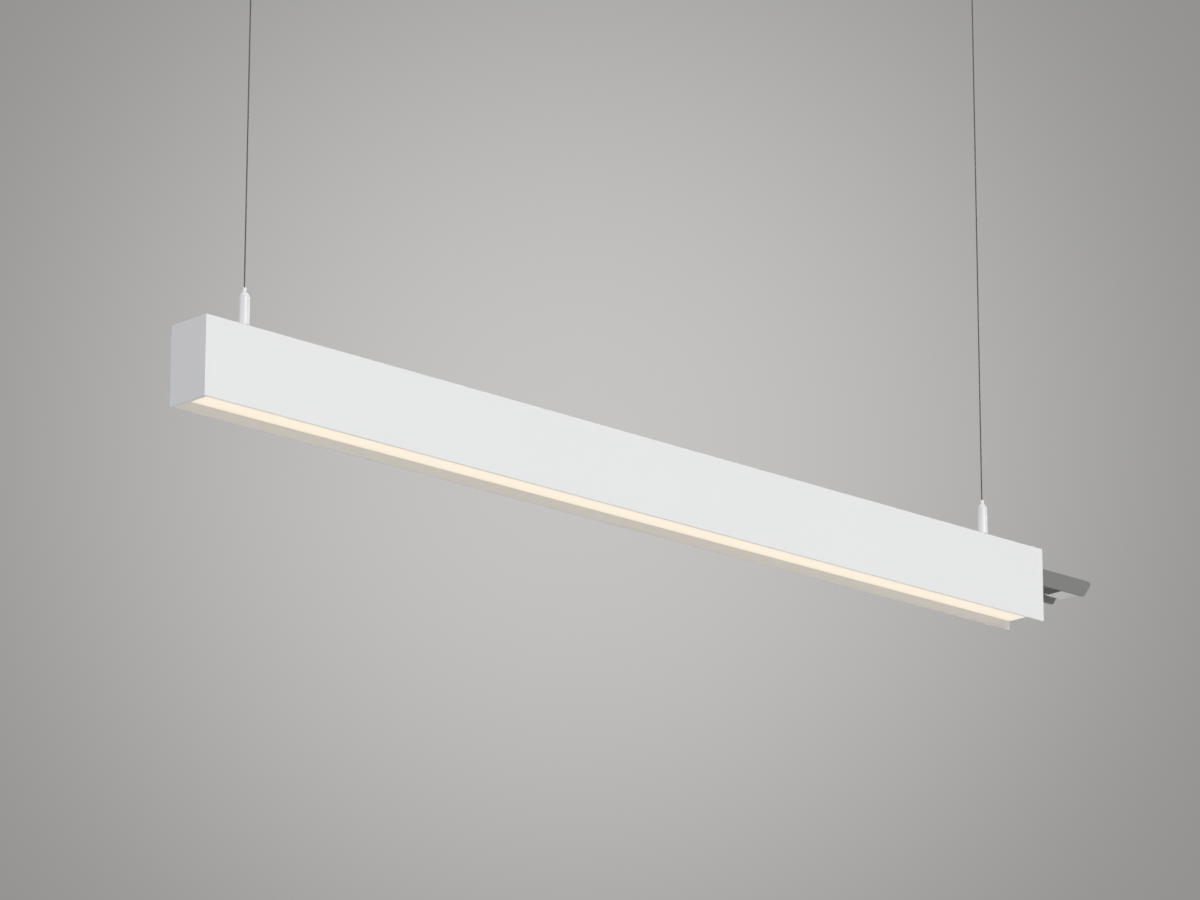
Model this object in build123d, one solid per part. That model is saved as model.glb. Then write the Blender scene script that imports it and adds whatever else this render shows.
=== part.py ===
from build123d import *
import os
from math import cos, pi, radians, sin, sqrt, tan

# Linear pendant light: the closed-end starter module of a continuous run.
# A white aluminium box profile hangs on two steel cables, with its opal lens set up between the
# side walls. The left end (-X) is closed by a cap. The right end (+X) is open for the next module,
# with two joiner blades and the feed plug standing out of it.
# Frame: origin on the ceiling, midway between the two ceiling screws; +X along the light towards
# the open end, -Y is the front, +Z is up. Millimetres.

# Overall sizes
HOUSING_LENGTH = 1219.0
HOUSING_WIDTH = 54.0
HOUSING_HEIGHT = 84.0
CEILING_DROP = 700.0
HANGER_FROM_END = 69.5

# Clearances
SLIP = 0.3
RUN = 0.05
DRILL = 0.2

# Housing profile
WALL = 2.0
ROOF = 2.2
CORNER_R = 0.8
RIB = 1.6
LIP_THICK = 1.4
LIP_DEPTH = 3.0

# Joiner blades, one in the groove of each side wall
BLADE_DROP = 22.0
BLADE_HEIGHT = 19.0
BLADE_THICK = 2.5
BLADE_OUT = 84.5
BLADE_IN = 84.5
BLADE_NOSE_RISE = 2.5
BLADE_NOSE_RUN = 5.0
BLADE_RAKE = 12.5
BLADE_CORNER_R = 2.0
GRUB_R = 2.5
GRUB_LENGTH = 4.5
GRUB_PITCH = 30.0
GRUB_FROM_MIDDLE = 22.0
GRUB_SOCKET_R = 1.2
GRUB_SOCKET_DEPTH = 2.0

# End cap and the tongues that hold it in the grooves
CAP_THICK = 4.0
CAP_ROUND = 0.4
TONGUE_LENGTH = 40.0
TONGUE_FOOT_HEIGHT = 11.0
TONGUE_FOOT_REACH = 14.0
CAP_SCREW_R = 2.0
CAP_SCREW_BITE = 3.0
CAP_SCREW_HEAD_R = 3.6
CAP_SCREW_HEAD = 2.4
CAP_GRUB_FROM_END = 26.0

# Opal lens, snapped in between the walls
LENS_REGRESS = 10.0
LENS_THICK = 2.0
LENS_LEG = 1.4
LENS_LEG_RISE = 8.0
LENS_LEG_GAP = 0.4
LENS_HOOK_RISE = 3.0
LENS_RIB = 1.2
LENS_RIB_GAP = 0.2
SNAP_RISE = 3.6

# Gear tray with the light engine
TRAY_THICK = 1.0
TRAY_EDGE_GAP = 0.5
TRAY_END_GAP = 8.0
TRAY_SCREW_R = 1.4
TRAY_SCREW_HEAD_R = 2.4
TRAY_SCREW_HEAD = 1.8
TRAY_SCREW_TIP = 1.0
TRAY_SCREW_PAIRS = 4
TRAY_SCREW_MARGIN = 20.0
BOARD_WIDTH = 24.0
BOARD_THICK = 1.6
BOARD_JOINT = 6.0
CHIP_LENGTH = 3.0
CHIP_WIDTH = 2.8
CHIP_HEIGHT = 0.8
CHIPS_PER_BOARD = 48
LINK_LENGTH = 18.0
LINK_WIDTH = 8.0
LINK_HEIGHT = 3.0

# Driver, terminal block and wiring on top of the tray
DRIVER_LENGTH = 230.0
DRIVER_WIDTH = 30.0
DRIVER_HEIGHT = 17.0
DRIVER_EAR = 12.0
DRIVER_EAR_THICK = 1.5
DRIVER_ROUND = 2.0
GEAR_SCREW_R = 1.8
GEAR_SCREW_HEAD_R = 3.2
GEAR_SCREW_HEAD = 2.0
GEAR_SCREW_TAIL = 2.5
TERMINAL_GAP = 170.0
TERMINAL_LENGTH = 28.0
TERMINAL_WIDTH = 22.0
TERMINAL_HEIGHT = 16.0
TERMINAL_CHAMFER = 3.0
WIRE_R = 1.3
WIRE_PITCH = 5.0
WIRE_CLIP_LENGTH = 8.0
WIRE_CLIP_WIDTH = 20.0
LED_LEAD_GAP = 50.0
LED_LEAD_PITCH = 6.0
LED_LEAD_BEND = 7.0
GROMMET_R = 7.5
GROMMET_HOLE_R = 5.5
GROMMET_LIP = 1.0

# Feed plug at the open end
PLUG_BASE_DROP = 36.0
PLUG_FROM_END = 51.0
PLUG_LENGTH = 25.0
PLUG_WIDTH = 32.0
PLUG_HEIGHT = 12.0
PLUG_ROUND = 2.0
PLUG_PIN_R = 1.8
PLUG_PIN_PITCH = 9.0
PLUG_PIN_DEPTH = 12.0
CONTACT_R = 1.3
CONTACT_BORE_R = 0.8
CONTACT_SET = 1.5
BOOT_WIDTH = 24.0
BOOT_HEIGHT = 10.0
BOOT_ROUND = 3.5
BOOT_IN = 30.0
BOOT_GROOVES = 5
BOOT_GROOVE_PITCH = 4.0
BOOT_GROOVE_WIDTH = 2.0
BOOT_GROOVE_DEPTH = 0.8
CLAMP_FROM_END = 14.0
CLAMP_LENGTH = 14.0
CLAMP_WALL = 3.0

# Cable and its swaged stop
CABLE_R = 0.75
CABLE_BORE_R = 1.1
CABLE_TAIL = 16.0
STOP_R = 2.5
STOP_SHANK_R = 1.4
STOP_LENGTH = 8.0
STOP_GRIP = 4.0
SWAGE_GAP = 0.03

# Ceiling fitting
FITTING_R = 11.0
BASE_FLANGE = 2.0
BASE_NECK_R = 8.0
BASE_NECK = 8.0
SCREW_HOLE_R = 2.25
SCREW_SINK_R = 4.4
CAP_LENGTH = 24.0
CAP_EDGE_R = 2.0
CAP_MOUTH_R = 6.0
CAP_THROAT_R = 4.4
PIVOT_DROP = 17.0
SEAT_R = 7.0
SEAT_TOP = 2.5
SEAT_BOTTOM = 5.3
SEAT_THROAT_R = 1.85
SEAT_MOUTH_R = 2.9

# Cable gripper, heights above the housing's roof
GRIPPER_R = 5.5
GRIPPER_BASE = 11.0
GRIPPER_SHOULDER = 40.0
GRIPPER_TOP = 44.1
GRIPPER_TOP_R = 2.6
NOSE_R = 2.1
NOSE_TOP = 49.0
NOSE_CHAMFER = 0.6
PLUNGER_FLANGE_R = 2.9
PLUNGER_FLANGE = 2.0
PLUNGER_TUBE_R = 1.75
PLUNGER_TRAVEL = 2.5
CHAMBER_R = 3.2
WEDGE_ANGLE = 10.0
GRIP_BALL_R = 1.2
GRIP_BALL_RISE = 29.3
GRIP_BALL_GAP = 0.03
GRIP_BALLS = 3
CARRIER_R = 3.1
CARRIER_THICK = 1.0
CARRIER_GAP = 0.2
BARREL_R = 4.2
SPRING_R = 2.4
SPRING_WIRE = 0.6
SPRING_TURNS = 5
SPRING_END_PITCH = 1.05
FOOT_FLANGE = 1.5
FOOT_PLUG = 5.0
FOOT_NECK_R = 2.4
FOOT_R = 4.5
FOOT_RISE = 4.0

# Swivel cup on the roof and the nut below it
CUP_R = 6.8
RING_R = 8.0
RING_TOP = 7.5
RING_BASE = 1.0
RING_MOUTH_R = 3.6
STEM_R = 4.0
STEM_LENGTH = 7.0
STEM_THROAT_R = 1.9
STEM_MOUTH_R = 3.0
NUT_FLATS = 14.0
NUT_THICK = 4.0

# Levels and edges that follow from the sizes
TOP = -CEILING_DROP
BOTTOM = TOP - HOUSING_HEIGHT
X_OPEN = HOUSING_LENGTH / 2
X_CAP = -HOUSING_LENGTH / 2
X_PROFILE = X_CAP + CAP_THICK
INNER_Y = HOUSING_WIDTH / 2 - WALL
BLADE_TOP = TOP - BLADE_DROP
BLADE_BOTTOM = BLADE_TOP - BLADE_HEIGHT
BLADE_MID = (BLADE_TOP + BLADE_BOTTOM) / 2
BLADE_OUTER_Y = INNER_Y - SLIP
BLADE_INNER_Y = BLADE_OUTER_Y - BLADE_THICK
GROOVE_TOP = BLADE_TOP + SLIP
GROOVE_BOTTOM = BLADE_BOTTOM - SLIP
LIP_OUTER_Y = BLADE_INNER_Y - SLIP
LIP_INNER_Y = LIP_OUTER_Y - LIP_THICK
TRAY_TOP = GROOVE_BOTTOM - RIB
TRAY_BOTTOM = TRAY_TOP - TRAY_THICK
BOARD_BOTTOM = TRAY_BOTTOM - BOARD_THICK
LENS_BOTTOM = BOTTOM + LENS_REGRESS
LENS_TOP = LENS_BOTTOM + LENS_THICK
LENS_STOP = LENS_TOP + LENS_RIB_GAP
LENS_SNAP = LENS_TOP + SNAP_RISE
LENS_RIB_Y = INNER_Y - LENS_RIB
TRAY_LEFT = X_PROFILE + TRAY_END_GAP
TRAY_RIGHT = X_OPEN - TRAY_END_GAP
TERMINAL_X = DRIVER_LENGTH / 2 + TERMINAL_GAP + TERMINAL_LENGTH / 2
LED_LEAD_X = -DRIVER_LENGTH / 2 - LED_LEAD_GAP
BOOT_LEFT = X_OPEN - BOOT_IN
WIRE_CLIP_X = (TERMINAL_X + TERMINAL_LENGTH / 2 + BOOT_LEFT) / 2
PLUG_BASE = TOP - PLUG_BASE_DROP
PLUG_MID = PLUG_BASE + PLUG_HEIGHT / 2
PLUG_LEFT = X_OPEN + PLUG_FROM_END
PLUG_RIGHT = PLUG_LEFT + PLUG_LENGTH
BOOT_MID = PLUG_BASE + BOOT_HEIGHT / 2
PIVOT_Z = -PIVOT_DROP
CHAMBER_FLOOR = GRIPPER_SHOULDER - PLUNGER_FLANGE - PLUNGER_TRAVEL - SLIP
HANGER_X = X_OPEN - HANGER_FROM_END
SIDES = {"left": -HANGER_X, "right": HANGER_X}
WALLS = {"front": -1, "back": 1}


# Shared shapes

def block(x0, x1, y0, y1, z0, z1):
    """Rectangular block between two opposite corners."""
    middle = Pos((x0 + x1) / 2, (y0 + y1) / 2, (z0 + z1) / 2)
    return middle * Box(abs(x1 - x0), abs(y1 - y0), abs(z1 - z0))


def rod_x(x0, x1, y, z, radius):
    """Round bar along X."""
    return Pos((x0 + x1) / 2, y, z) * Rot(0, 90, 0) * Cylinder(radius, x1 - x0)


def rod_y(x, y0, y1, z, radius):
    """Round bar along Y."""
    return Pos(x, (y0 + y1) / 2, z) * Rot(90, 0, 0) * Cylinder(radius, abs(y1 - y0))


def rod_z(x, y, z0, z1, radius):
    """Round bar along Z."""
    return Pos(x, y, (z0 + z1) / 2) * Cylinder(radius, z1 - z0)


def turned(*outline):
    """Solid of revolution about Z from a closed half outline of (radius, height) points."""
    wire = Polyline(*[(radius, 0, height) for radius, height in outline], close=True)
    return revolve(make_face(wire), Axis.Z)


def rect(y0, y1, z0, z1):
    """Rectangle of a cross section, by its edges."""
    return Pos((y0 + y1) / 2, (z0 + z1) / 2) * Rectangle(abs(y1 - y0), abs(z1 - z0))


def along_x(section, x0, x1):
    """Extrusion of a YZ cross section from x0 to x1."""
    return extrude(Plane.YZ.offset(x0) * section, amount=x1 - x0)


def save(name, *solids):
    """Write one node: a single solid, or a group of separate ones."""
    shape = solids[0] if len(solids) == 1 else Compound(children=list(solids))
    export_step(shape, f"parts/{name}.step")


# Housing, end cap and lens

def housing():
    """Box profile open below, with a blade groove and two lens ribs on each side wall."""
    middle = (TOP + BOTTOM) / 2
    section = Pos(0, middle) * RectangleRounded(HOUSING_WIDTH, HOUSING_HEIGHT, CORNER_R)
    section -= rect(-INNER_Y, INNER_Y, BOTTOM - WALL, TOP - ROOF)
    for side in WALLS.values():
        section += rect(side * INNER_Y, side * LIP_INNER_Y, GROOVE_TOP, GROOVE_TOP + RIB)
        section += rect(side * INNER_Y, side * LIP_INNER_Y, GROOVE_BOTTOM, GROOVE_BOTTOM - RIB)
        section += rect(side * LIP_OUTER_Y, side * LIP_INNER_Y, GROOVE_TOP, GROOVE_TOP - LIP_DEPTH)
        section += rect(side * LIP_OUTER_Y, side * LIP_INNER_Y, GROOVE_BOTTOM, GROOVE_BOTTOM + LIP_DEPTH)
        for level in (LENS_STOP, LENS_SNAP):
            section += rect(side * INNER_Y, side * LENS_RIB_Y, level, level + LENS_RIB)
    profile = along_x(section, X_PROFILE, X_OPEN)
    for x in SIDES.values():
        profile -= rod_z(x, 0, TOP - 2 * ROOF, TOP + ROOF, STEM_R + DRILL)
    for x, y in tray_screw_places():
        profile -= rod_z(x, y, TRAY_TOP - RIB, GROOVE_BOTTOM + LIP_DEPTH, TRAY_SCREW_R + DRILL)
    return profile


def end_cap():
    """Plain cap over the whole end, rounded outside, with two blind screw holes on its inner face."""
    middle = (TOP + BOTTOM) / 2
    section = Pos(0, middle) * RectangleRounded(HOUSING_WIDTH, HOUSING_HEIGHT, CORNER_R)
    cap = along_x(section, X_CAP, X_PROFILE)
    cap = fillet(cap.faces().sort_by(Axis.X)[0].edges(), CAP_ROUND)
    for side in WALLS.values():
        cap -= rod_x(X_PROFILE - CAP_SCREW_BITE, X_PROFILE + CAP_SCREW_BITE, cap_screw_y(side), BLADE_MID,
                     CAP_SCREW_R + RUN)
    return cap


def cap_screw_y(side):
    """Sideways place of the screw that fixes a tongue's foot to the cap."""
    return side * (BLADE_INNER_Y - TONGUE_FOOT_REACH / 2)


def cap_tongue(side):
    """Angle piece: one leg lies in the groove, the foot is screwed to the cap."""
    leg = block(X_PROFILE, X_PROFILE + TONGUE_LENGTH, side * BLADE_OUTER_Y, side * BLADE_INNER_Y,
                BLADE_BOTTOM, BLADE_TOP)
    half = TONGUE_FOOT_HEIGHT / 2
    inner = BLADE_INNER_Y - TONGUE_FOOT_REACH
    foot = block(X_PROFILE, X_PROFILE + BLADE_THICK, side * BLADE_OUTER_Y, side * inner,
                 BLADE_MID - half, BLADE_MID + half)
    tongue = leg + foot
    tongue -= rod_x(X_PROFILE - BLADE_THICK, X_PROFILE + 2 * BLADE_THICK, cap_screw_y(side), BLADE_MID,
                    CAP_SCREW_R + DRILL)
    return tongue - grub_hole(X_PROFILE + CAP_GRUB_FROM_END, side)


def cap_screw(side):
    """Pan-head screw through a tongue's foot into the cap."""
    y = cap_screw_y(side)
    seat = X_PROFILE + BLADE_THICK
    shank = rod_x(X_PROFILE - CAP_SCREW_BITE, seat, y, BLADE_MID, CAP_SCREW_R)
    return shank + rod_x(seat, seat + CAP_SCREW_HEAD, y, BLADE_MID, CAP_SCREW_HEAD_R)


def lens():
    """Opal strip with two hooked legs that snap over the upper lens ribs."""
    edge = INNER_Y - SLIP
    leg_outer = LENS_RIB_Y - LENS_LEG_GAP
    hook = LENS_SNAP + LENS_RIB + LENS_RIB_GAP
    section = rect(-edge, edge, LENS_BOTTOM, LENS_TOP)
    for side in WALLS.values():
        section += rect(side * leg_outer, side * (leg_outer - LENS_LEG), LENS_TOP, LENS_TOP + LENS_LEG_RISE)
        foot = (side * leg_outer, hook)
        nose = (side * (edge - DRILL), hook)
        tip = (side * leg_outer, hook + LENS_HOOK_RISE)
        section += make_face(Polyline(foot, nose, tip, close=True))
    return along_x(section, X_PROFILE + SLIP, X_OPEN)


# Joiner blades and grub screws

def blade_outline():
    """Side view of a blade before its corners are rounded: a small bevel above and a long rake below."""
    right = X_OPEN + BLADE_OUT
    left = X_OPEN - BLADE_IN
    nose = BLADE_TOP - BLADE_NOSE_RISE
    return [
        (left + BLADE_NOSE_RUN, BLADE_TOP), (right - BLADE_NOSE_RUN, BLADE_TOP), (right, nose),
        (right - BLADE_RAKE, BLADE_BOTTOM), (left + BLADE_RAKE, BLADE_BOTTOM), (left, nose),
    ]


def grub_places():
    """Grub screws of a blade, two on each side of the joint between modules."""
    steps = (GRUB_FROM_MIDDLE, GRUB_FROM_MIDDLE + GRUB_PITCH)
    return [X_OPEN + way * step for way in (-1, 1) for step in steps]


def grub_hole(x, side):
    """Tapped hole through a blade or tongue."""
    return rod_y(x, side * (INNER_Y + WALL), side * (BLADE_INNER_Y - WALL), BLADE_MID, GRUB_R + RUN)


def joiner_blade(side):
    """Steel blade that slides in the groove of one side wall."""
    wire = Polyline(*[(x, side * BLADE_INNER_Y, z) for x, z in blade_outline()], close=True)
    blade = extrude(make_face(wire), amount=BLADE_THICK, dir=(0, side, 0))
    blade = fillet(blade.edges().filter_by(Axis.Y), BLADE_CORNER_R)
    for x in grub_places():
        blade -= grub_hole(x, side)
    return blade


def grub_screw(x, side):
    """Socket grub screw, flush with the blade's outer face."""
    tail = side * (BLADE_OUTER_Y - GRUB_LENGTH)
    screw = rod_y(x, side * BLADE_OUTER_Y, tail, BLADE_MID, GRUB_R)
    return screw - rod_y(x, tail, tail + side * GRUB_SOCKET_DEPTH, BLADE_MID, GRUB_SOCKET_R)


# Gear tray and light engine

def tray_screw_places():
    """Tray screws, in pairs under the lower ribs, between the cap's tongues and the blades' inward travel."""
    first = X_PROFILE + TONGUE_LENGTH + TRAY_SCREW_MARGIN
    last = X_OPEN - BLADE_IN - BLADE_OUT - TRAY_SCREW_MARGIN
    pitch = (last - first) / (TRAY_SCREW_PAIRS - 1)
    y = INNER_Y - TRAY_SCREW_HEAD_R - DRILL
    return [(first + pair * pitch, side * y) for pair in range(TRAY_SCREW_PAIRS) for side in WALLS.values()]


def gear_tray():
    """White steel strip under the groove ribs, with holes for screws and for the board leads."""
    edge = INNER_Y - TRAY_EDGE_GAP
    tray = block(TRAY_LEFT, TRAY_RIGHT, -edge, edge, TRAY_BOTTOM, TRAY_TOP)
    holes = [(x, y, TRAY_SCREW_R + DRILL) for x, y in tray_screw_places()]
    holes += [(x, 0, GEAR_SCREW_R + DRILL) for x in driver_screw_places()]
    holes.append((LED_LEAD_X, 0, GROMMET_HOLE_R))
    for x, y, radius in holes:
        tray -= rod_z(x, y, TRAY_BOTTOM - TRAY_THICK, TRAY_TOP + TRAY_THICK, radius)
    return tray


def tray_screw(x, y):
    """Pan-head screw up through the tray into the groove rib."""
    shank = rod_z(x, y, TRAY_BOTTOM, GROOVE_BOTTOM + TRAY_SCREW_TIP, TRAY_SCREW_R)
    return shank + rod_z(x, y, TRAY_BOTTOM - TRAY_SCREW_HEAD, TRAY_BOTTOM, TRAY_SCREW_HEAD_R)


def board_spans():
    """Ends of the two light-engine boards."""
    return {"left": (TRAY_LEFT, -BOARD_JOINT / 2), "right": (BOARD_JOINT / 2, TRAY_RIGHT)}


def led_board(x0, x1):
    """Circuit board under the tray."""
    board = block(x0, x1, -BOARD_WIDTH / 2, BOARD_WIDTH / 2, BOARD_BOTTOM, TRAY_BOTTOM)
    for x in driver_screw_places():
        board -= rod_z(x, 0, BOARD_BOTTOM - BOARD_THICK, TRAY_BOTTOM + BOARD_THICK, GEAR_SCREW_R + DRILL)
    return board


def led_chips():
    """One row of light sources along the middle of both boards, clear of the link and the screws."""
    chips = []
    clear = LINK_LENGTH / 2 + CHIP_LENGTH
    for x0, x1 in board_spans().values():
        pitch = (x1 - x0 - clear) / CHIPS_PER_BOARD
        start = x0 if x0 < 0 else x0 + clear
        for index in range(CHIPS_PER_BOARD):
            x = start + (index + 0.5) * pitch
            taken = [abs(x - screw) < GEAR_SCREW_R + CHIP_LENGTH for screw in driver_screw_places()]
            if not any(taken):
                chips.append(block(x - CHIP_LENGTH / 2, x + CHIP_LENGTH / 2, -CHIP_WIDTH / 2, CHIP_WIDTH / 2,
                                   BOARD_BOTTOM - CHIP_HEIGHT, BOARD_BOTTOM))
    return chips


def board_link():
    """Plug-in bridge between the two boards."""
    return block(-LINK_LENGTH / 2, LINK_LENGTH / 2, -LINK_WIDTH / 2, LINK_WIDTH / 2,
                 BOARD_BOTTOM - LINK_HEIGHT, BOARD_BOTTOM)


# Driver, terminals and wiring

def driver_screw_places():
    """Screws through the driver's two ears."""
    reach = DRIVER_LENGTH / 2 - DRIVER_EAR / 2
    return [-reach, reach]


def led_driver():
    """Driver case with a drilled ear at each end."""
    half = DRIVER_LENGTH / 2
    case = block(-half + DRIVER_EAR, half - DRIVER_EAR, -DRIVER_WIDTH / 2, DRIVER_WIDTH / 2,
                 TRAY_TOP, TRAY_TOP + DRIVER_HEIGHT)
    case = fillet(case.edges().filter_by(Axis.X).group_by(Axis.Z)[-1], DRIVER_ROUND)
    ears = block(-half, half, -DRIVER_WIDTH / 2, DRIVER_WIDTH / 2, TRAY_TOP, TRAY_TOP + DRIVER_EAR_THICK)
    driver = case + ears
    for x in driver_screw_places():
        driver -= rod_z(x, 0, TRAY_BOTTOM, TRAY_TOP + DRIVER_HEIGHT, GEAR_SCREW_R + DRILL)
    return driver


def driver_screw(x):
    """Pan-head screw down through a driver ear and the tray."""
    seat = TRAY_TOP + DRIVER_EAR_THICK
    shank = rod_z(x, 0, TRAY_BOTTOM - GEAR_SCREW_TAIL, seat, GEAR_SCREW_R)
    return shank + rod_z(x, 0, seat, seat + GEAR_SCREW_HEAD, GEAR_SCREW_HEAD_R)


def wire_rows():
    """Sideways places of the three supply wires."""
    return (-WIRE_PITCH, 0.0, WIRE_PITCH)


def terminal_block():
    """Push-in terminal block, with wire entries at both ends."""
    half = TERMINAL_LENGTH / 2
    body = block(TERMINAL_X - half, TERMINAL_X + half, -TERMINAL_WIDTH / 2, TERMINAL_WIDTH / 2,
                 TRAY_TOP, TRAY_TOP + TERMINAL_HEIGHT)
    body = chamfer(body.edges().filter_by(Axis.Y).group_by(Axis.Z)[-1], TERMINAL_CHAMFER)
    for y in wire_rows():
        body -= rod_x(TERMINAL_X - 2 * half, TERMINAL_X + 2 * half, y, BOOT_MID, WIRE_R + DRILL)
    return body


def wire_clip():
    """Post on the tray that carries the supply wires halfway along."""
    top = BOOT_MID + WIRE_R + CLAMP_WALL
    half = WIRE_CLIP_LENGTH / 2
    clip = block(WIRE_CLIP_X - half, WIRE_CLIP_X + half, -WIRE_CLIP_WIDTH / 2, WIRE_CLIP_WIDTH / 2,
                 TRAY_TOP, top)
    for y in wire_rows():
        clip -= rod_x(WIRE_CLIP_X - 2 * half, WIRE_CLIP_X + 2 * half, y, BOOT_MID, WIRE_R + DRILL)
    return clip


def supply_wires():
    """Three wires from the plug's boot to the terminal block."""
    return [rod_x(TERMINAL_X + DRILL, BOOT_LEFT, y, BOOT_MID, WIRE_R) for y in wire_rows()]


def driver_wires():
    """Three wires from the terminal block to the driver."""
    end = DRIVER_LENGTH / 2 - DRIVER_EAR
    return [rod_x(end, TERMINAL_X - DRILL, y, BOOT_MID, WIRE_R) for y in wire_rows()]


def led_leads():
    """Two leads from the driver, bent down through the grommet to the left board."""
    leads = []
    start = -DRIVER_LENGTH / 2 + DRIVER_EAR
    for side in WALLS.values():
        y = side * LED_LEAD_PITCH / 2
        route = FilletPolyline((start, y, BOOT_MID), (LED_LEAD_X, y, BOOT_MID), (LED_LEAD_X, y, TRAY_BOTTOM),
                               radius=LED_LEAD_BEND)
        mouth = Plane(origin=(start, y, BOOT_MID), z_dir=(-1, 0, 0))
        leads.append(sweep(mouth * Circle(WIRE_R), path=route))
    return leads


def grommet():
    """Rubber ring in the tray hole that the board leads pass through."""
    bore = LED_LEAD_PITCH / 2 + WIRE_R + DRILL
    rim = GROMMET_HOLE_R - RUN
    ring = turned((bore, TRAY_BOTTOM), (rim, TRAY_BOTTOM), (rim, TRAY_TOP), (GROMMET_R, TRAY_TOP),
                  (GROMMET_R, TRAY_TOP + GROMMET_LIP), (bore, TRAY_TOP + GROMMET_LIP))
    return Pos(LED_LEAD_X, 0, 0) * ring


# Feed plug at the open end

def pin_rows():
    """Sideways places of the plug's three poles."""
    return (-PLUG_PIN_PITCH, 0.0, PLUG_PIN_PITCH)


def feed_plug():
    """Three-pole plug body with pin recesses in its end."""
    section = Pos(0, PLUG_MID) * RectangleRounded(PLUG_WIDTH, PLUG_HEIGHT, PLUG_ROUND)
    plug = along_x(section, PLUG_LEFT, PLUG_RIGHT)
    for y in pin_rows():
        plug -= rod_x(PLUG_RIGHT - PLUG_PIN_DEPTH, PLUG_RIGHT + PLUG_PIN_DEPTH, y, PLUG_MID, PLUG_PIN_R)
    return plug


def plug_contact(y):
    """Brass sleeve that stands in a pin recess."""
    floor = PLUG_RIGHT - PLUG_PIN_DEPTH
    sleeve = rod_x(floor, PLUG_RIGHT - CONTACT_SET, y, PLUG_MID, CONTACT_R)
    return sleeve - rod_x(floor - CONTACT_SET, PLUG_RIGHT, y, PLUG_MID, CONTACT_BORE_R)


def boot_section(grow):
    """Cross section of the plug's boot, grown by a clearance."""
    width = BOOT_WIDTH + 2 * grow
    height = BOOT_HEIGHT + 2 * grow
    return Pos(0, BOOT_MID) * RectangleRounded(width, height, BOOT_ROUND + grow)


def plug_boot():
    """Sleeve that carries the supply wires out to the plug, grooved behind it so that it can bend."""
    boot = along_x(boot_section(0), BOOT_LEFT, PLUG_LEFT)
    groove = boot_section(SLIP) - boot_section(-BOOT_GROOVE_DEPTH)
    for index in range(BOOT_GROOVES):
        start = PLUG_LEFT - (index + 1) * BOOT_GROOVE_PITCH
        boot -= along_x(groove, start, start + BOOT_GROOVE_WIDTH)
    return boot


def boot_clamp():
    """Saddle on the tray that grips the boot just inside the open end."""
    x1 = X_OPEN - CLAMP_FROM_END
    half = BOOT_WIDTH / 2 + CLAMP_WALL
    saddle = block(x1 - CLAMP_LENGTH, x1, -half, half, TRAY_TOP, PLUG_BASE + BOOT_HEIGHT + CLAMP_WALL)
    return saddle - along_x(boot_section(RUN), x1 - 2 * CLAMP_LENGTH, x1 + CLAMP_LENGTH)


# Ceiling fitting

def ceiling_base():
    """Flanged base, screwed to the ceiling through its countersunk hole."""
    neck = -BASE_FLANGE - BASE_NECK
    sink = neck + SCREW_SINK_R - SCREW_HOLE_R
    return turned((SCREW_HOLE_R, 0), (FITTING_R, 0), (FITTING_R, -BASE_FLANGE), (BASE_NECK_R, -BASE_FLANGE),
                  (BASE_NECK_R, neck), (SCREW_SINK_R, neck), (SCREW_HOLE_R, sink))


def ceiling_cap():
    """Cup screwed over the base, with a round bowl for the swivel seat and a flared mouth."""
    bore = BASE_NECK_R + RUN
    bowl = SEAT_R + RUN
    foot = -BASE_FLANGE - CAP_LENGTH
    throat = PIVOT_Z - sqrt(bowl ** 2 - CAP_THROAT_R ** 2)
    cup = turned((bore, -BASE_FLANGE), (FITTING_R, -BASE_FLANGE), (FITTING_R, foot + CAP_EDGE_R),
                 (FITTING_R - CAP_EDGE_R, foot), (CAP_MOUTH_R, foot), (CAP_THROAT_R, throat),
                 (CAP_THROAT_R, PIVOT_Z), (bore, PIVOT_Z))
    return cup - Pos(0, 0, PIVOT_Z) * Sphere(bowl)


def swivel_seat():
    """Nylon seat that rocks in the cap's bowl and holds the cable's ball."""
    pocket = STOP_R + RUN
    floor = PIVOT_Z - SEAT_BOTTOM
    throat = PIVOT_Z - sqrt(pocket ** 2 - SEAT_THROAT_R ** 2)
    ball = Pos(0, 0, PIVOT_Z) * Sphere(SEAT_R)
    ball &= rod_z(0, 0, floor, PIVOT_Z + SEAT_TOP, SEAT_R)
    ball -= Pos(0, 0, PIVOT_Z) * Sphere(pocket)
    ball -= rod_z(0, 0, PIVOT_Z, PIVOT_Z + SEAT_R, pocket)
    return ball - turned((0, throat), (SEAT_THROAT_R, throat), (SEAT_MOUTH_R, floor), (0, floor))


def cable_stop():
    """Ball and shank swaged onto the cable's upper end."""
    foot = PIVOT_Z - STOP_LENGTH
    stop = Pos(0, 0, PIVOT_Z) * Sphere(STOP_R)
    stop += rod_z(0, 0, foot, PIVOT_Z, STOP_SHANK_R)
    return stop - rod_z(0, 0, foot - STOP_GRIP, foot + STOP_GRIP, CABLE_R + SWAGE_GAP)


def cable():
    """Steel cable from the stop's shank, through the gripper, to its tail inside the housing."""
    return rod_z(0, 0, TOP - CABLE_TAIL, PIVOT_Z - STOP_LENGTH + STOP_GRIP, CABLE_R)


# Cable gripper

def wedge_r(rise):
    """Radius of the gripper's tapered bore at a height above the roof."""
    slope = tan(radians(WEDGE_ANGLE))
    at_ball = grip_ball_ring() + (GRIP_BALL_R + GRIP_BALL_GAP) / cos(radians(WEDGE_ANGLE))
    return at_ball + (GRIP_BALL_RISE - rise) * slope


def grip_ball_ring():
    """Distance of a gripping ball's centre from the cable's axis."""
    return CABLE_R + GRIP_BALL_R + GRIP_BALL_GAP


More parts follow.
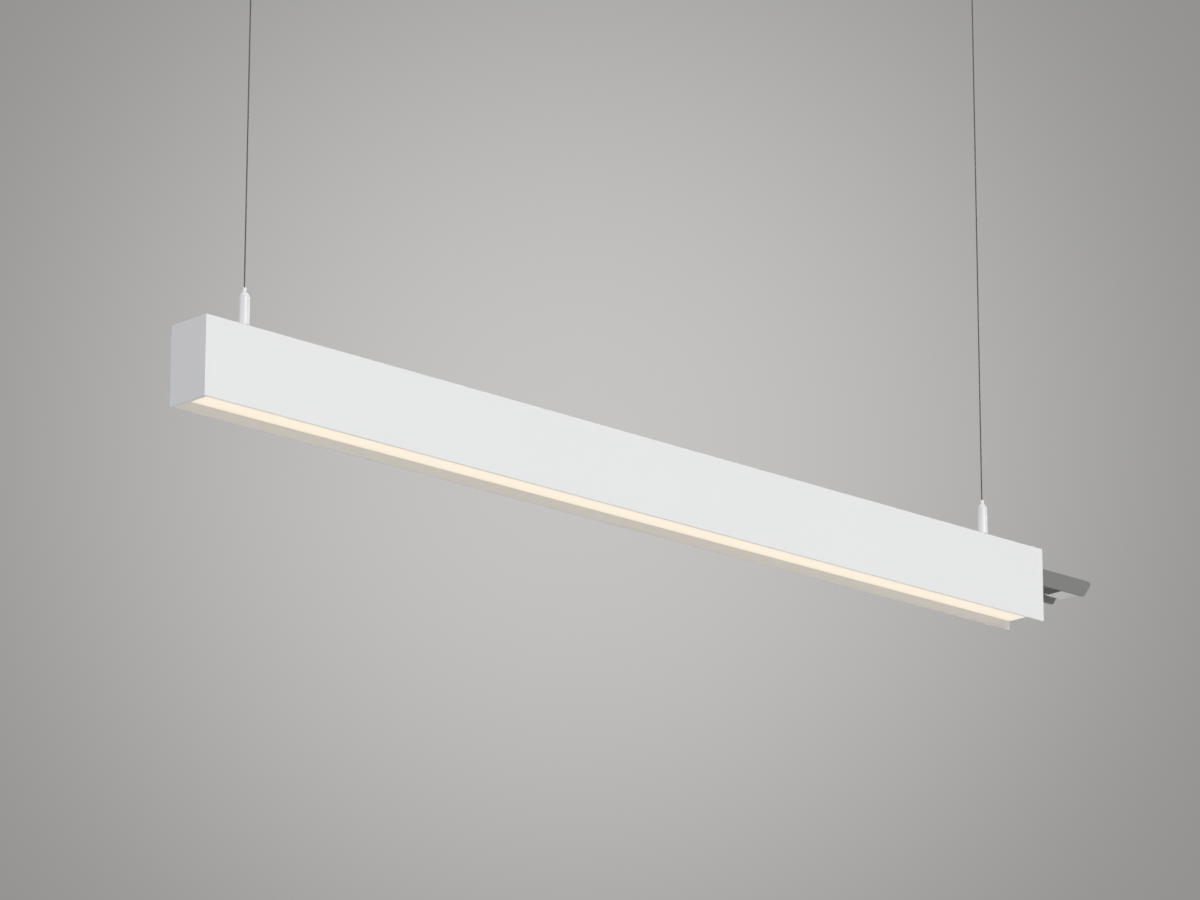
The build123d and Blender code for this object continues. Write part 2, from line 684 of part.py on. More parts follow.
def gripper_body():
    """Turned barrel: plunger hole, chamber, tapered bore for the balls, then a plain bore for the spring."""
    slope = tan(radians(WEDGE_ANGLE))
    barrel = GRIP_BALL_RISE - (BARREL_R - wedge_r(GRIP_BALL_RISE)) / slope
    hole = NOSE_R + 2 * RUN
    return Pos(0, 0, TOP) * turned(
        (GRIPPER_R, GRIPPER_BASE), (GRIPPER_R, GRIPPER_SHOULDER), (GRIPPER_TOP_R, GRIPPER_TOP),
        (hole, GRIPPER_TOP), (hole, GRIPPER_SHOULDER), (CHAMBER_R, GRIPPER_SHOULDER),
        (CHAMBER_R, CHAMBER_FLOOR), (wedge_r(CHAMBER_FLOOR), CHAMBER_FLOOR), (BARREL_R, barrel),
        (BARREL_R, GRIPPER_BASE))


def gripper_plunger():
    """Release nose with a flange that keeps it in the body and a tube that presses on the balls."""
    roof = GRIPPER_SHOULDER - RUN
    tube = GRIP_BALL_RISE + GRIP_BALL_R + CARRIER_GAP
    return Pos(0, 0, TOP) * turned(
        (CABLE_BORE_R, NOSE_TOP), (NOSE_R - NOSE_CHAMFER, NOSE_TOP), (NOSE_R, NOSE_TOP - NOSE_CHAMFER),
        (NOSE_R, roof), (PLUNGER_FLANGE_R, roof), (PLUNGER_FLANGE_R, roof - PLUNGER_FLANGE),
        (PLUNGER_TUBE_R, roof - PLUNGER_FLANGE), (PLUNGER_TUBE_R, tube), (CABLE_BORE_R, tube))


def gripper_balls():
    """Steel balls spaced round the cable in the tapered bore."""
    ball = Pos(grip_ball_ring(), 0, TOP + GRIP_BALL_RISE) * Sphere(GRIP_BALL_R)
    return [Rot(0, 0, index * 360 / GRIP_BALLS) * ball for index in range(GRIP_BALLS)]


def carrier_base():
    """Height of the ball carrier's underside above the roof."""
    return GRIP_BALL_RISE - GRIP_BALL_R - CARRIER_GAP - CARRIER_THICK


def ball_carrier():
    """Washer that the spring presses up against the balls."""
    top = carrier_base() + CARRIER_THICK
    return Pos(0, 0, TOP) * turned((CABLE_BORE_R, carrier_base()), (CARRIER_R, carrier_base()),
                                   (CARRIER_R, top), (CABLE_BORE_R, top))


def foot_top():
    """Height of the foot's threaded plug above the roof."""
    return GRIPPER_BASE + FOOT_PLUG


def spring_stations():
    """Quarter-turn places and directions along the spring's wire, with a closed turn at each end."""
    first = foot_top() + SPRING_WIRE / 2 + RUN
    last = carrier_base() - SPRING_WIRE / 2 - RUN
    pitch = (last - first - 2 * SPRING_END_PITCH) / SPRING_TURNS
    rises = 4 * [SPRING_END_PITCH] + 4 * SPRING_TURNS * [pitch] + 4 * [SPRING_END_PITCH]
    stations = []
    height = first
    for before, after in zip(rises[:1] + rises, rises + rises[-1:]):
        turn = len(stations) * pi / 2
        place = Vector(SPRING_R * cos(turn), SPRING_R * sin(turn), height)
        way = Vector(-SPRING_R * sin(turn), SPRING_R * cos(turn), (before + after) / (4 * pi))
        stations.append((place, way.normalized()))
        height += after / 4
    return stations


def quarter_turn(start, end):
    """Two arcs that leave one station along its direction and run into the next along its own."""
    (place, way), (next_place, next_way) = start, end
    gap = next_place - place
    along = gap.dot(way + next_way)
    turn = 2 * (1 - way.dot(next_way))
    reach = (sqrt(along ** 2 + turn * gap.dot(gap)) - along) / turn
    corner = place + way * reach
    next_corner = next_place - next_way * reach
    middle = (corner + next_corner) * 0.5
    first = TangentArc(place, middle, tangent=way)
    return [first, TangentArc(middle, next_place, tangent=next_corner - corner)]


def least_spring_gap(arcs):
    """Least clear gap between one turn of the spring and another, on points along its wire."""
    points = [arc @ (step / 4) for arc in arcs for step in range(4)]
    half_turn = len(points) // (2 * (SPRING_TURNS + 2))
    apart = []
    for index, point in enumerate(points):
        apart += [(point - other).length for other in points[index + half_turn:]]
    return min(apart) - SPRING_WIRE


def gripper_spring():
    """Return spring between the foot's plug and the ball carrier, as one coiled wire."""
    stations = spring_stations()
    arcs = [arc for pair in zip(stations, stations[1:]) for arc in quarter_turn(*pair)]
    print(f"gripper spring: least gap between turns {least_spring_gap(arcs):.2f} mm")
    place, way = stations[0]
    wire = sweep(Plane(origin=place, z_dir=way) * Circle(SPRING_WIRE / 2), path=Wire(arcs))
    return Pos(0, 0, TOP) * wire


def gripper_foot():
    """Threaded plug that closes the barrel, with a neck and a swivel ball below it."""
    flange = GRIPPER_BASE - FOOT_FLANGE
    plug = BARREL_R - RUN
    stalk = turned((0, FOOT_RISE), (FOOT_NECK_R, FOOT_RISE), (FOOT_NECK_R, flange), (GRIPPER_R, flange),
                   (GRIPPER_R, GRIPPER_BASE), (plug, GRIPPER_BASE), (plug, foot_top()), (0, foot_top()))
    foot = stalk + Pos(0, 0, FOOT_RISE) * Sphere(FOOT_R)
    return Pos(0, 0, TOP) * (foot - rod_z(0, 0, FOOT_RISE - 2 * FOOT_R, 2 * foot_top(), CABLE_BORE_R))


# Swivel cup on the roof

def swivel_cup():
    """Lower half of the swivel: a cup with a stem through the roof, flared inside for the cable's swing."""
    cup = turned((STEM_MOUTH_R, -STEM_LENGTH), (STEM_R, -STEM_LENGTH), (STEM_R, 0), (RING_R, 0),
                 (RING_R, RING_BASE), (CUP_R, RING_BASE), (CUP_R, FOOT_RISE), (STEM_THROAT_R, FOOT_RISE),
                 (STEM_THROAT_R, FOOT_RISE - FOOT_R))
    return Pos(0, 0, TOP) * (cup - Pos(0, 0, FOOT_RISE) * Sphere(FOOT_R + RUN))


def swivel_ring():
    """Upper half of the swivel: a ring screwed over the cup that keeps the ball in."""
    thread = CUP_R + RUN
    ring = turned((thread, RING_BASE), (RING_R, RING_BASE), (RING_R, RING_TOP), (RING_MOUTH_R, RING_TOP),
                  (RING_MOUTH_R, FOOT_RISE), (thread, FOOT_RISE))
    return Pos(0, 0, TOP) * (ring - Pos(0, 0, FOOT_RISE) * Sphere(FOOT_R + RUN))


def hanger_nut():
    """Hexagon nut that clamps the cup's stem under the roof."""
    hexagon = extrude(RegularPolygon(NUT_FLATS / 2, 6, major_radius=False), amount=-NUT_THICK)
    return Pos(0, 0, TOP - ROOF) * (hexagon - Cylinder(STEM_R + RUN, 4 * NUT_THICK))


def build_hanger(side, x):
    """Write the pieces of one suspension point, from the ceiling to the nut under the roof."""
    place = Pos(x, 0, 0)
    pieces = {
        "ceiling_base": [ceiling_base()],
        "ceiling_cap": [ceiling_cap()],
        "swivel_seat": [swivel_seat()],
        "cable_stop": [cable_stop()],
        "cable": [cable()],
        "gripper_body": [gripper_body()],
        "gripper_plunger": [gripper_plunger()],
        "gripper_balls": gripper_balls(),
        "ball_carrier": [ball_carrier()],
        "gripper_spring": [gripper_spring()],
        "gripper_foot": [gripper_foot()],
        "swivel_cup": [swivel_cup()],
        "swivel_ring": [swivel_ring()],
        "hanger_nut": [hanger_nut()],
    }
    for name, solids in pieces.items():
        save(f"{name}_{side}", *[place * solid for solid in solids])


def build_light():
    """Write the pieces of the housing, the light engine and the open end."""
    save("housing", housing())
    save("end_cap", end_cap())
    save("cap_tongues", *[cap_tongue(side) for side in WALLS.values()])
    save("cap_screws", *[cap_screw(side) for side in WALLS.values()])
    save("cap_grub_screws", *[grub_screw(X_PROFILE + CAP_GRUB_FROM_END, side) for side in WALLS.values()])
    save("lens", lens())
    save("gear_tray", gear_tray())
    save("tray_screws", *[tray_screw(x, y) for x, y in tray_screw_places()])
    for side, (x0, x1) in board_spans().items():
        save(f"led_board_{side}", led_board(x0, x1))
    save("led_chips", *led_chips())
    save("board_link", board_link())
    save("led_driver", led_driver())
    save("driver_screws", *[driver_screw(x) for x in driver_screw_places()])
    save("terminal_block", terminal_block())
    save("wire_clip", wire_clip())
    save("supply_wires", *supply_wires())
    save("driver_wires", *driver_wires())
    save("led_leads", *led_leads())
    save("lead_grommet", grommet())
    save("feed_plug", feed_plug())
    save("plug_contacts", *[plug_contact(y) for y in pin_rows()])
    save("plug_boot", plug_boot())
    save("boot_clamp", boot_clamp())
    for name, side in WALLS.items():
        save(f"joiner_blade_{name}", joiner_blade(side))
        save(f"joiner_screws_{name}", *[grub_screw(x, side) for x in grub_places()])


os.makedirs("parts", exist_ok=True)
build_light()
for hanger, hanger_x in SIDES.items():
    build_hanger(hanger, hanger_x)
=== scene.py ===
import logging
import math
from dataclasses import dataclass
from enum import Enum
from typing import Iterable

import bmesh
import bpy
from mathutils import Matrix, Vector


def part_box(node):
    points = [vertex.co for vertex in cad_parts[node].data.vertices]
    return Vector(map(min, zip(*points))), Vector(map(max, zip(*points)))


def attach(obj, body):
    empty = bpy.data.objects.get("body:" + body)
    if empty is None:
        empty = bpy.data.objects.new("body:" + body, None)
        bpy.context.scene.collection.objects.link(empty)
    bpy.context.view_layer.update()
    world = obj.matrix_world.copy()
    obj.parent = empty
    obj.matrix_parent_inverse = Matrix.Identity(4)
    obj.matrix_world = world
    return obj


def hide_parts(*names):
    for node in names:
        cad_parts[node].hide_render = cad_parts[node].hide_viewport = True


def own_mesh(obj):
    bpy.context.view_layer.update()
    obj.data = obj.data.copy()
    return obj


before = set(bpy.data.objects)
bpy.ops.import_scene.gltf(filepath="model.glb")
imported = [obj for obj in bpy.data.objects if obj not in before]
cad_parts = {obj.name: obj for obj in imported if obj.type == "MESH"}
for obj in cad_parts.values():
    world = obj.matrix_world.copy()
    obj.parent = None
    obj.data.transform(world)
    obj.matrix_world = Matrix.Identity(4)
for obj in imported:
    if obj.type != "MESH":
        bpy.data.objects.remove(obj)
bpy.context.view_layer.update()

LOG = logging.getLogger("pendant_light")
MM = 0.001
MERGE = 1e-6
SMOOTH_DEGREES = 32.0
X_WAY, Y_WAY, Z_WAY = Vector((1, 0, 0)), Vector((0, 1, 0)), Vector((0, 0, 1))
Point = tuple[float, float]

# Places that everything hangs from, read off the frame
HOUSING_LOW, HOUSING_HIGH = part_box("housing")
CAP_LOW, CAP_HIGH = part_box("end_cap")
ROOF = HOUSING_HIGH.z
OPEN_END = HOUSING_HIGH.x


class Side(Enum):
    """The two hangers, by their place along the light."""

    LEFT = "left"
    RIGHT = "right"

    @property
    def x(self) -> float:
        """Place of the hanger along the light, in metres."""
        low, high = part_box(f"cable_{self.value}")
        return (low.x + high.x) / 2


class Wall(Enum):
    """The two long walls of the housing, by the sign of their place across it."""

    FRONT = -1
    BACK = 1

    @property
    def word(self) -> str:
        """Name of the wall as the frame's nodes have it."""
        return self.name.lower()


# Shader helpers

def linear(hex_colour: str) -> tuple[float, float, float, float]:
    """Turn an sRGB hex colour to linear light.

    Args:
        hex_colour: Six hex digits.

    Returns:
        Linear red, green, blue and an alpha of one.
    """
    parts = [int(hex_colour[place:place + 2], 16) / 255 for place in (0, 2, 4)]
    light = [part / 12.92 if part <= 0.04045 else ((part + 0.055) / 1.055) ** 2.4 for part in parts]
    return (light[0], light[1], light[2], 1.0)


def per_metre(size_mm: float) -> float:
    """Texture scale whose features are about this many millimetres wide."""
    return 1 / (size_mm * MM)


def add_node(tree: bpy.types.NodeTree, kind: str, links: dict | None = None, values: dict | None = None,
             **settings: object) -> bpy.types.Node:
    """Add one shader node with its settings and links.

    Args:
        tree: Node tree that takes the node.
        kind: Node type, without its common prefix.
        links: Output sockets by the input that each one feeds.
        values: Constants by input.
        settings: Attributes of the node itself.

    Returns:
        The new node.
    """
    node = tree.nodes.new(f"ShaderNode{kind}")
    for name, setting in settings.items():
        setattr(node, name, setting)
    for socket, value in (values or {}).items():
        node.inputs[socket].default_value = value
    for socket, source in (links or {}).items():
        tree.links.new(source, node.inputs[socket])
    return node


def place_across(tree: bpy.types.NodeTree) -> bpy.types.NodeSocket:
    """Give the shaded point's place across the light."""
    coords = add_node(tree, "TexCoord")
    return add_node(tree, "SeparateXYZ", {"Vector": coords.outputs["Object"]}).outputs["Y"]


# Finishes
# Grit that is really finer is drawn 0.2 mm wide or more, so that close views can show it

@dataclass(frozen=True)
class Surface:
    """A finish with a body colour, soft patches of a second tone and a fine relief."""

    title: str
    colour: str
    shade: str
    roughness: float
    swing: float = 0.05
    patch_mm: float = 40.0
    grain_mm: float = 0.6
    relief_mm: float = 0.004
    metallic: float = 0.0
    ior: float = 1.5
    stretch: tuple[float, float, float] = (1.0, 1.0, 1.0)
    patch_detail: float = 3.0
    grain_detail: float = 2.0
    glow: str = "FFFFFF"
    strength: float = 0.0

    def material(self) -> bpy.types.Material:
        """Give the node material of this finish, made on first use.

        Returns:
            The material.
        """
        known = bpy.data.materials.get(self.title)
        if known:
            return known
        made = bpy.data.materials.new(self.title)
        made.use_nodes = True
        shader = made.node_tree.nodes["Principled BSDF"]
        shader.inputs["Metallic"].default_value = self.metallic
        if not self.metallic:
            shader.inputs["IOR"].default_value = self.ior
        if self.strength:
            shader.inputs["Emission Color"].default_value = linear(self.glow)
            shader.inputs["Emission Strength"].default_value = self.strength
        self.dress(made.node_tree, shader)
        return made

    def pattern(self, tree: bpy.types.NodeTree, size_mm: float, detail: float,
                stretch: tuple[float, float, float]) -> bpy.types.NodeSocket:
        """Add an uneven pattern in the part's own frame.

        Args:
            tree: Node tree of the material.
            size_mm: Width of its features.
            detail: Number of finer layers in it.
            stretch: Scale along each axis, below one where it is drawn out.

        Returns:
            The pattern's strength.
        """
        coords = add_node(tree, "TexCoord")
        place = add_node(tree, "Mapping", {"Vector": coords.outputs["Object"]}, {"Scale": stretch})
        return add_node(tree, "TexNoise", {"Vector": place.outputs["Vector"]},
                        {"Scale": per_metre(size_mm), "Detail": detail}).outputs["Fac"]

    def underlay(self, tree: bpy.types.NodeTree, shader: bpy.types.Node, height: bpy.types.NodeSocket,
                 relief_mm: float) -> None:
        """Add a second relief under the finish's own grain.

        Args:
            tree: Node tree of the material.
            shader: Its principled shader, already dressed.
            height: Pattern of the relief.
            relief_mm: Its height.
        """
        grain = shader.inputs["Normal"].links[0].from_node
        bump = add_node(tree, "Bump", {"Height": height}, {"Distance": relief_mm * MM})
        tree.links.new(bump.outputs["Normal"], grain.inputs["Normal"])

    def dress(self, tree: bpy.types.NodeTree, shader: bpy.types.Node) -> None:
        """Add the colour patches, the uneven gloss and the relief.

        Args:
            tree: Node tree of the material.
            shader: Its principled shader.
        """
        patches = self.pattern(tree, self.patch_mm, self.patch_detail, self.stretch)
        grain = self.pattern(tree, self.grain_mm, self.grain_detail, self.stretch)
        tone = add_node(tree, "Mix", {"Factor": patches}, {6: linear(self.colour), 7: linear(self.shade)},
                        data_type="RGBA")
        gloss = add_node(tree, "MapRange", {"Value": patches},
                         {"To Min": self.roughness - self.swing, "To Max": self.roughness + self.swing})
        bump = add_node(tree, "Bump", {"Height": grain}, {"Distance": self.relief_mm * MM})
        tree.links.new(tone.outputs[2], shader.inputs["Base Color"])
        tree.links.new(gloss.outputs["Result"], shader.inputs["Roughness"])
        tree.links.new(bump.outputs["Normal"], shader.inputs["Normal"])


@dataclass(frozen=True)
class PowderCoat(Surface):
    """Polyester powder coat: satin, with the soft orange peel of the melted powder over a finer grit."""

    peel_mm: float = 2.2
    peel_relief_mm: float = 0.006
    peel_detail: float = 1.0

    def dress(self, tree: bpy.types.NodeTree, shader: bpy.types.Node) -> None:
        """Add the orange peel below the finish's own grit.

        Args:
            tree: Node tree of the material.
            shader: Its principled shader.
        """
        super().dress(tree, shader)
        peel = self.pattern(tree, self.peel_mm, self.peel_detail, self.stretch)
        self.underlay(tree, shader, peel, self.peel_relief_mm)


@dataclass(frozen=True)
class OpalAcrylic(Surface):
    """Extruded opal acrylic, lit from behind: an even warm glow that falls off beside the walls."""

    edge_strength: float = 0.86
    half_width_mm: float = 24.7
    fall_mm: float = 8.0

    def dress(self, tree: bpy.types.NodeTree, shader: bpy.types.Node) -> None:
        """Let the glow fall off beside the walls.

        Args:
            tree: Node tree of the material.
            shader: Its principled shader.
        """
        super().dress(tree, shader)
        off_middle = add_node(tree, "Math", {0: place_across(tree)}, operation="ABSOLUTE")
        fall = add_node(tree, "MapRange", {"Value": off_middle.outputs[0]},
                        {"From Min": (self.half_width_mm - self.fall_mm) * MM,
                         "From Max": self.half_width_mm * MM,
                         "To Min": self.strength, "To Max": self.strength * self.edge_strength},
                        interpolation_type="SMOOTHSTEP")
        tree.links.new(fall.outputs["Result"], shader.inputs["Emission Strength"])


@dataclass(frozen=True)
class ZincPlate(Surface):
    """Cold-rolled steel with a dull zinc plate: faint rolling lines along the strip and a cloudy bloom."""

    line_mm: float = 0.35
    line_length_mm: float = 30.0
    line_relief_mm: float = 0.003
    line_detail: float = 2.0

    def dress(self, tree: bpy.types.NodeTree, shader: bpy.types.Node) -> None:
        """Add the rolling lines under the cloudy plate.

        Args:
            tree: Node tree of the material.
            shader: Its principled shader.
        """
        super().dress(tree, shader)
        drawn = (self.line_mm / self.line_length_mm, 1.0, 1.0)
        lines = self.pattern(tree, self.line_mm, self.line_detail, drawn)
        self.underlay(tree, shader, lines, self.line_relief_mm)


@dataclass(frozen=True)
class WireSheath(Surface):
    """Three insulated wires side by side, told apart by the colour of their sheaths."""

    left: str = "2B2B2B"
    middle: str = "2F7A3B"
    right: str = "E4E2DC"
    row_mm: float = 2.5

    def dress(self, tree: bpy.types.NodeTree, shader: bpy.types.Node) -> None:
        """Colour each wire by its row across the light.

        Args:
            tree: Node tree of the material.
            shader: Its principled shader.
        """
        super().dress(tree, shader)
        across = place_across(tree)
        past_left, past_middle = [
            add_node(tree, "Math", {0: across}, {1: limit * MM}, operation="GREATER_THAN")
            for limit in (-self.row_mm, self.row_mm)]
        pair = add_node(tree, "Mix", {"Factor": past_left.outputs[0]},
                        {6: linear(self.left), 7: linear(self.middle)}, data_type="RGBA")
        three = add_node(tree, "Mix", {"Factor": past_middle.outputs[0], 6: pair.outputs[2]},
                         {7: linear(self.right)}, data_type="RGBA")
        tree.links.new(three.outputs[2], shader.inputs["Base Color"])


# White polyester powder coat on the extrusion and its cap: an even satin white with a faint orange peel
COAT = PowderCoat("white polyester powder coat", "EAEBEC", "E7E8E9", 0.42, grain_mm=0.45, relief_mm=0.002,
                  patch_mm=120.0)
# Bare aluminium where the saw cut the coated profile: bright, with fine saw lines down the section
SAWN = Surface("sawn aluminium", "C9CACB", "BFC0C2", 0.34, metallic=1.0, grain_mm=0.5, relief_mm=0.006,
               patch_mm=6.0, stretch=(1.0, 3.0, 0.2))
# Opal acrylic lens, frosted outside: an even warm glow with no hot spots
OPAL = OpalAcrylic("opal acrylic", "B8B3A8", "B4AFA4", 0.5, grain_mm=0.4, relief_mm=0.003, patch_mm=80.0,
                   ior=1.49, glow="FAECD8", strength=0.72)
# Zinc-plated strip steel of the blades and tongues: mid grey and dull, with faint rolling lines
ZINC = ZincPlate("zinc-plated strip steel", "A7A8A7", "9D9E9D", 0.47, swing=0.06, metallic=1.0, patch_mm=9.0,
                 grain_mm=1.2, relief_mm=0.004)
# Plain steel of screws, nuts and swaged stops: clean grey with a soft machined shine
STEEL = Surface("plain machined steel", "A9AAAB", "98999A", 0.32, metallic=1.0, patch_mm=3.0, grain_mm=0.3,
                relief_mm=0.003)
# Blackened alloy steel of the cap's grub screws: near black with a dull oily shine
BLACK_STEEL = Surface("blackened alloy steel", "4A4A4B", "3C3C3D", 0.4, metallic=1.0, patch_mm=2.0,
                      grain_mm=0.3)
# Galvanised strand wire: bright drawn wire that has gone grey
STRAND = Surface("galvanised strand wire", "6F7071", "5C5D5E", 0.38, metallic=1.0, patch_mm=4.0, grain_mm=0.2,
                 relief_mm=0.002)
# White lacquer on turned brass: smoother and glossier than the powder coat
LACQUER = Surface("white lacquer on turned brass", "E6E6E7", "E2E2E3", 0.36, patch_mm=20.0, grain_mm=0.9,
                  relief_mm=0.003)
# White polyamide of the plug, with the matt of a spark-eroded mould
POLYAMIDE = Surface("white moulded polyamide", "ECEDEE", "E8E9EA", 0.46, patch_mm=12.0, grain_mm=0.35,
                    relief_mm=0.008, ior=1.53)
# Natural nylon of the small clips: a warm, slightly waxy white
NYLON = Surface("natural moulded nylon", "E3E1DA", "DCDAD2", 0.5, patch_mm=8.0, grain_mm=0.4, relief_mm=0.006,
                ior=1.53)
# Dark grey moulded rubber of the boot and the grommet: matt, with hardly a highlight
RUBBER = Surface("grey moulded rubber", "6D6D6D", "656565", 0.62, patch_mm=10.0, grain_mm=0.5,
                 relief_mm=0.012, ior=1.52)
# Gloss white reflector paint on the tray: brighter and shinier than the housing
REFLECTOR = Surface("gloss white reflector paint", "F2F2F0", "EFEFED", 0.28, patch_mm=60.0, grain_mm=1.5)
# White solder mask over the boards' copper: a slightly creamy half gloss
MASK = Surface("white solder mask", "EAEAE6", "E3E3DE", 0.4, patch_mm=5.0, grain_mm=0.8, relief_mm=0.006)
# Light sources, switched on: small yellow caps that outshine all round them
PHOSPHOR = Surface("lit phosphor", "F2C65A", "EFBE4C", 0.5, glow="FFE2B0", strength=6.0)
# Polycarbonate case of the driver: a plain off-white with a fine mould texture
POLYCARBONATE = Surface("white moulded polycarbonate", "DADAD7", "D3D3D0", 0.42, patch_mm=25.0, grain_mm=0.4,
                        relief_mm=0.008, ior=1.58)
# Brass of the plug's contacts: bright yellow metal deep in white holes
BRASS = Surface("drawn brass", "C8A45A", "B8924A", 0.3, metallic=1.0, patch_mm=2.0, grain_mm=0.2)
# Supply wires and board leads: one colour a wire, with the soft shine of sheathing
SHEATH = WireSheath("coloured wire sheath", "2B2B2B", "2B2B2B", 0.45, patch_mm=15.0, grain_mm=0.8)
# Floor far below the light: a plain matt grey with no highlights
PALE_FLOOR = Surface("pale matt floor", "B0B0AE", "ADADAB", 0.9, patch_mm=900.0, grain_mm=6.0, relief_mm=0.05)


# Mesh helpers

def link_edges(shape: bmesh.types.BMesh, points: Iterable[Vector]) -> list[bmesh.types.BMEdge]:
    """Join points into a closed chain of edges.

    Args:
        shape: Mesh that takes them.
        points: Corners in order.

    Returns:
        The edges.
    """
    corners = [shape.verts.new(point) for point in points]
    return [shape.edges.new((corner, corners[index - 1])) for index, corner in enumerate(corners)]


def bevel_edges(shape: bmesh.types.BMesh, edges: Iterable[bmesh.types.BMEdge], width: float,
                segments: int = 2) -> None:
    """Round some edges.

    Args:
        shape: Mesh that holds them.
        edges: Edges to round.
        width: Width of the rounding, in metres.
        segments: Faces across it.
    """
    bmesh.ops.bevel(shape, geom=list(edges), offset=width, offset_type="OFFSET", segments=segments,
                    profile=0.5, affect="EDGES", clamp_overlap=True, material=-1)


def sharp_edges(shape: bmesh.types.BMesh, degrees: float) -> list[bmesh.types.BMEdge]:
    """Give the edges where two faces meet at more than an angle."""
    limit = math.radians(degrees)
    return [edge for edge in shape.edges if edge.is_manifold and edge.calc_face_angle() > limit]


def soften(shape: bmesh.types.BMesh, width_mm: float, degrees: float = 30.0) -> None:
    """Turn the faces outwards and round the edges that are sharper than an angle."""
    bmesh.ops.recalc_face_normals(shape, faces=shape.faces)
    bevel_edges(shape, sharp_edges(shape, degrees), width_mm * MM)


def close_ends(shape: bmesh.types.BMesh) -> None:
    """Close every open rim with a face."""
    bmesh.ops.holes_fill(shape, edges=[edge for edge in shape.edges if edge.is_boundary], sides=0)


def push(shape: bmesh.types.BMesh, faces: Iterable[bmesh.types.BMFace], way: Vector) -> None:
    """Extrude faces as one region and move their copy.

    Args:
        shape: Mesh that holds the faces.
        faces: Region to extrude.
        way: Direction and distance, in metres.
    """
    grown = bmesh.ops.extrude_face_region(shape, geom=list(faces))["geom"]
    moved = [item for item in grown if isinstance(item, bmesh.types.BMVert)]
    bmesh.ops.translate(shape, verts=moved, vec=way)


def draw_out(shape: bmesh.types.BMesh, edges: Iterable[bmesh.types.BMEdge],
             way: Vector) -> tuple[list[bmesh.types.BMVert], list[bmesh.types.BMEdge]]:
    """Extrude a chain of edges and move its copy.

    Args:
        shape: Mesh that holds the chain.
        edges: Edges of the chain.
        way: Direction and distance, in metres.

    Returns:
        The copy's corners and edges.
    """
    grown = bmesh.ops.extrude_edge_only(shape, edges=list(edges))["geom"]
    corners = [item for item in grown if isinstance(item, bmesh.types.BMVert)]
    copies = [item for item in grown if isinstance(item, bmesh.types.BMEdge)
              and all(end in corners for end in item.verts)]
    bmesh.ops.translate(shape, verts=corners, vec=way)
    return corners, copies


def add_bored(shape: bmesh.types.BMesh, rims: list[tuple[list[Vector], Vector]]) -> None:
    """Add a block with blind holes in its face.

    Args:
        shape: Mesh that takes it.
        rims: Outlines in the plane of the face, each with the way to its far end: the block's own first,
            then the holes'.
    """
    chains = [link_edges(shape, points) for points, _ in rims]
    bmesh.ops.triangle_fill(shape, edges=[edge for chain in chains for edge in chain], use_beauty=True,
                            use_dissolve=False)
    for chain, (_, way) in zip(chains, rims):
        bmesh.ops.contextual_create(shape, geom=draw_out(shape, chain, way)[1])


def prism(outline: Iterable[Vector], way: Vector) -> bmesh.types.BMesh:
    """Extrude a closed outline.

    Args:
        outline: Corners in order, in one plane.
        way: Direction and length of the extrusion, in metres.

    Returns:
        A closed solid.
    """
    shape = bmesh.new()
    face = shape.faces.new([shape.verts.new(corner) for corner in outline])
    push(shape, [face], way)
    bmesh.ops.recalc_face_normals(shape, faces=shape.faces)
    return shape


def drilled(outline: Iterable[Vector], holes: Iterable[Iterable[Vector]], way: Vector) -> bmesh.types.BMesh:
    """Extrude a closed outline that has holes right through it.

    Args:
        outline: Corners in order, in one plane.
        holes: Outlines of the holes in that plane.
        way: Direction and length of the extrusion, in metres.

    Returns:
        A closed solid.
    """
    shape = bmesh.new()
    edges = link_edges(shape, outline)
    for hole in holes:
        edges += link_edges(shape, hole)
    bmesh.ops.triangle_fill(shape, edges=edges, use_beauty=True, use_dissolve=False)
    push(shape, list(shape.faces), way)
    return shape


def ring_points(centre: Vector, radius: float, across: Vector, up: Vector, steps: int = 28) -> list[Vector]:
    """Give points round a circle.

    Args:
        centre: Its centre.
        radius: Its radius, in metres.
        across: First direction in its plane.
        up: Second direction in its plane.
        steps: Number of points.

    Returns:
        The points in order.
    """
    turns = [2 * math.pi * step / steps for step in range(steps)]
    return [centre + across * (radius * math.cos(turn)) + up * (radius * math.sin(turn)) for turn in turns]


def rounded(outline: list[Point], radius: float, steps: int = 6) -> list[Point]:
    """Round every corner of a flat outline.

    Args:
        outline: Corners in order.
        radius: Radius of the rounding.
        steps: Spans along each arc.

    Returns:
        The outline with an arc for each corner.
    """
    points = []
    for index, corner in enumerate(outline):
        here = Vector(corner)
        back = (Vector(outline[index - 1]) - here).normalized()
        ahead = (Vector(outline[(index + 1) % len(outline)]) - here).normalized()
        half = back.angle(ahead) / 2
        centre = here + (back + ahead).normalized() * (radius / math.sin(half))
        start = here + back * (radius / math.tan(half)) - centre
        sweep = start.angle_signed(here + ahead * (radius / math.tan(half)) - centre)
        for step in range(steps + 1):
            points.append(tuple(centre + Matrix.Rotation(-sweep * step / steps, 2) @ start))
    return points


def mirrored(side: list[Point]) -> list[Point]:
    """Give a whole outline from its right half."""
    return side + [(-across, depth) for across, depth in reversed(side)]


def arc(radius: float, centre: float, start: float, end: float, steps: int = 10) -> list[Point]:
    """Give points of an arc about the turning axis.

    Args:
        radius: Radius of the ball that it lies on.
        centre: Height of the ball's centre.
        start: Distance from the axis where it starts, negative below the centre.
        end: Distance from the axis where it ends, negative below the centre.
        steps: Number of spans.

    Returns:
        Points of (radius, height) in order.
    """
    turns = [math.copysign(math.acos(min(1.0, abs(reach) / radius)), reach) for reach in (start, end)]
    stops = [turns[0] + (turns[1] - turns[0]) * step / steps for step in range(steps + 1)]
    return [(radius * math.cos(turn), centre + radius * math.sin(turn)) for turn in stops]


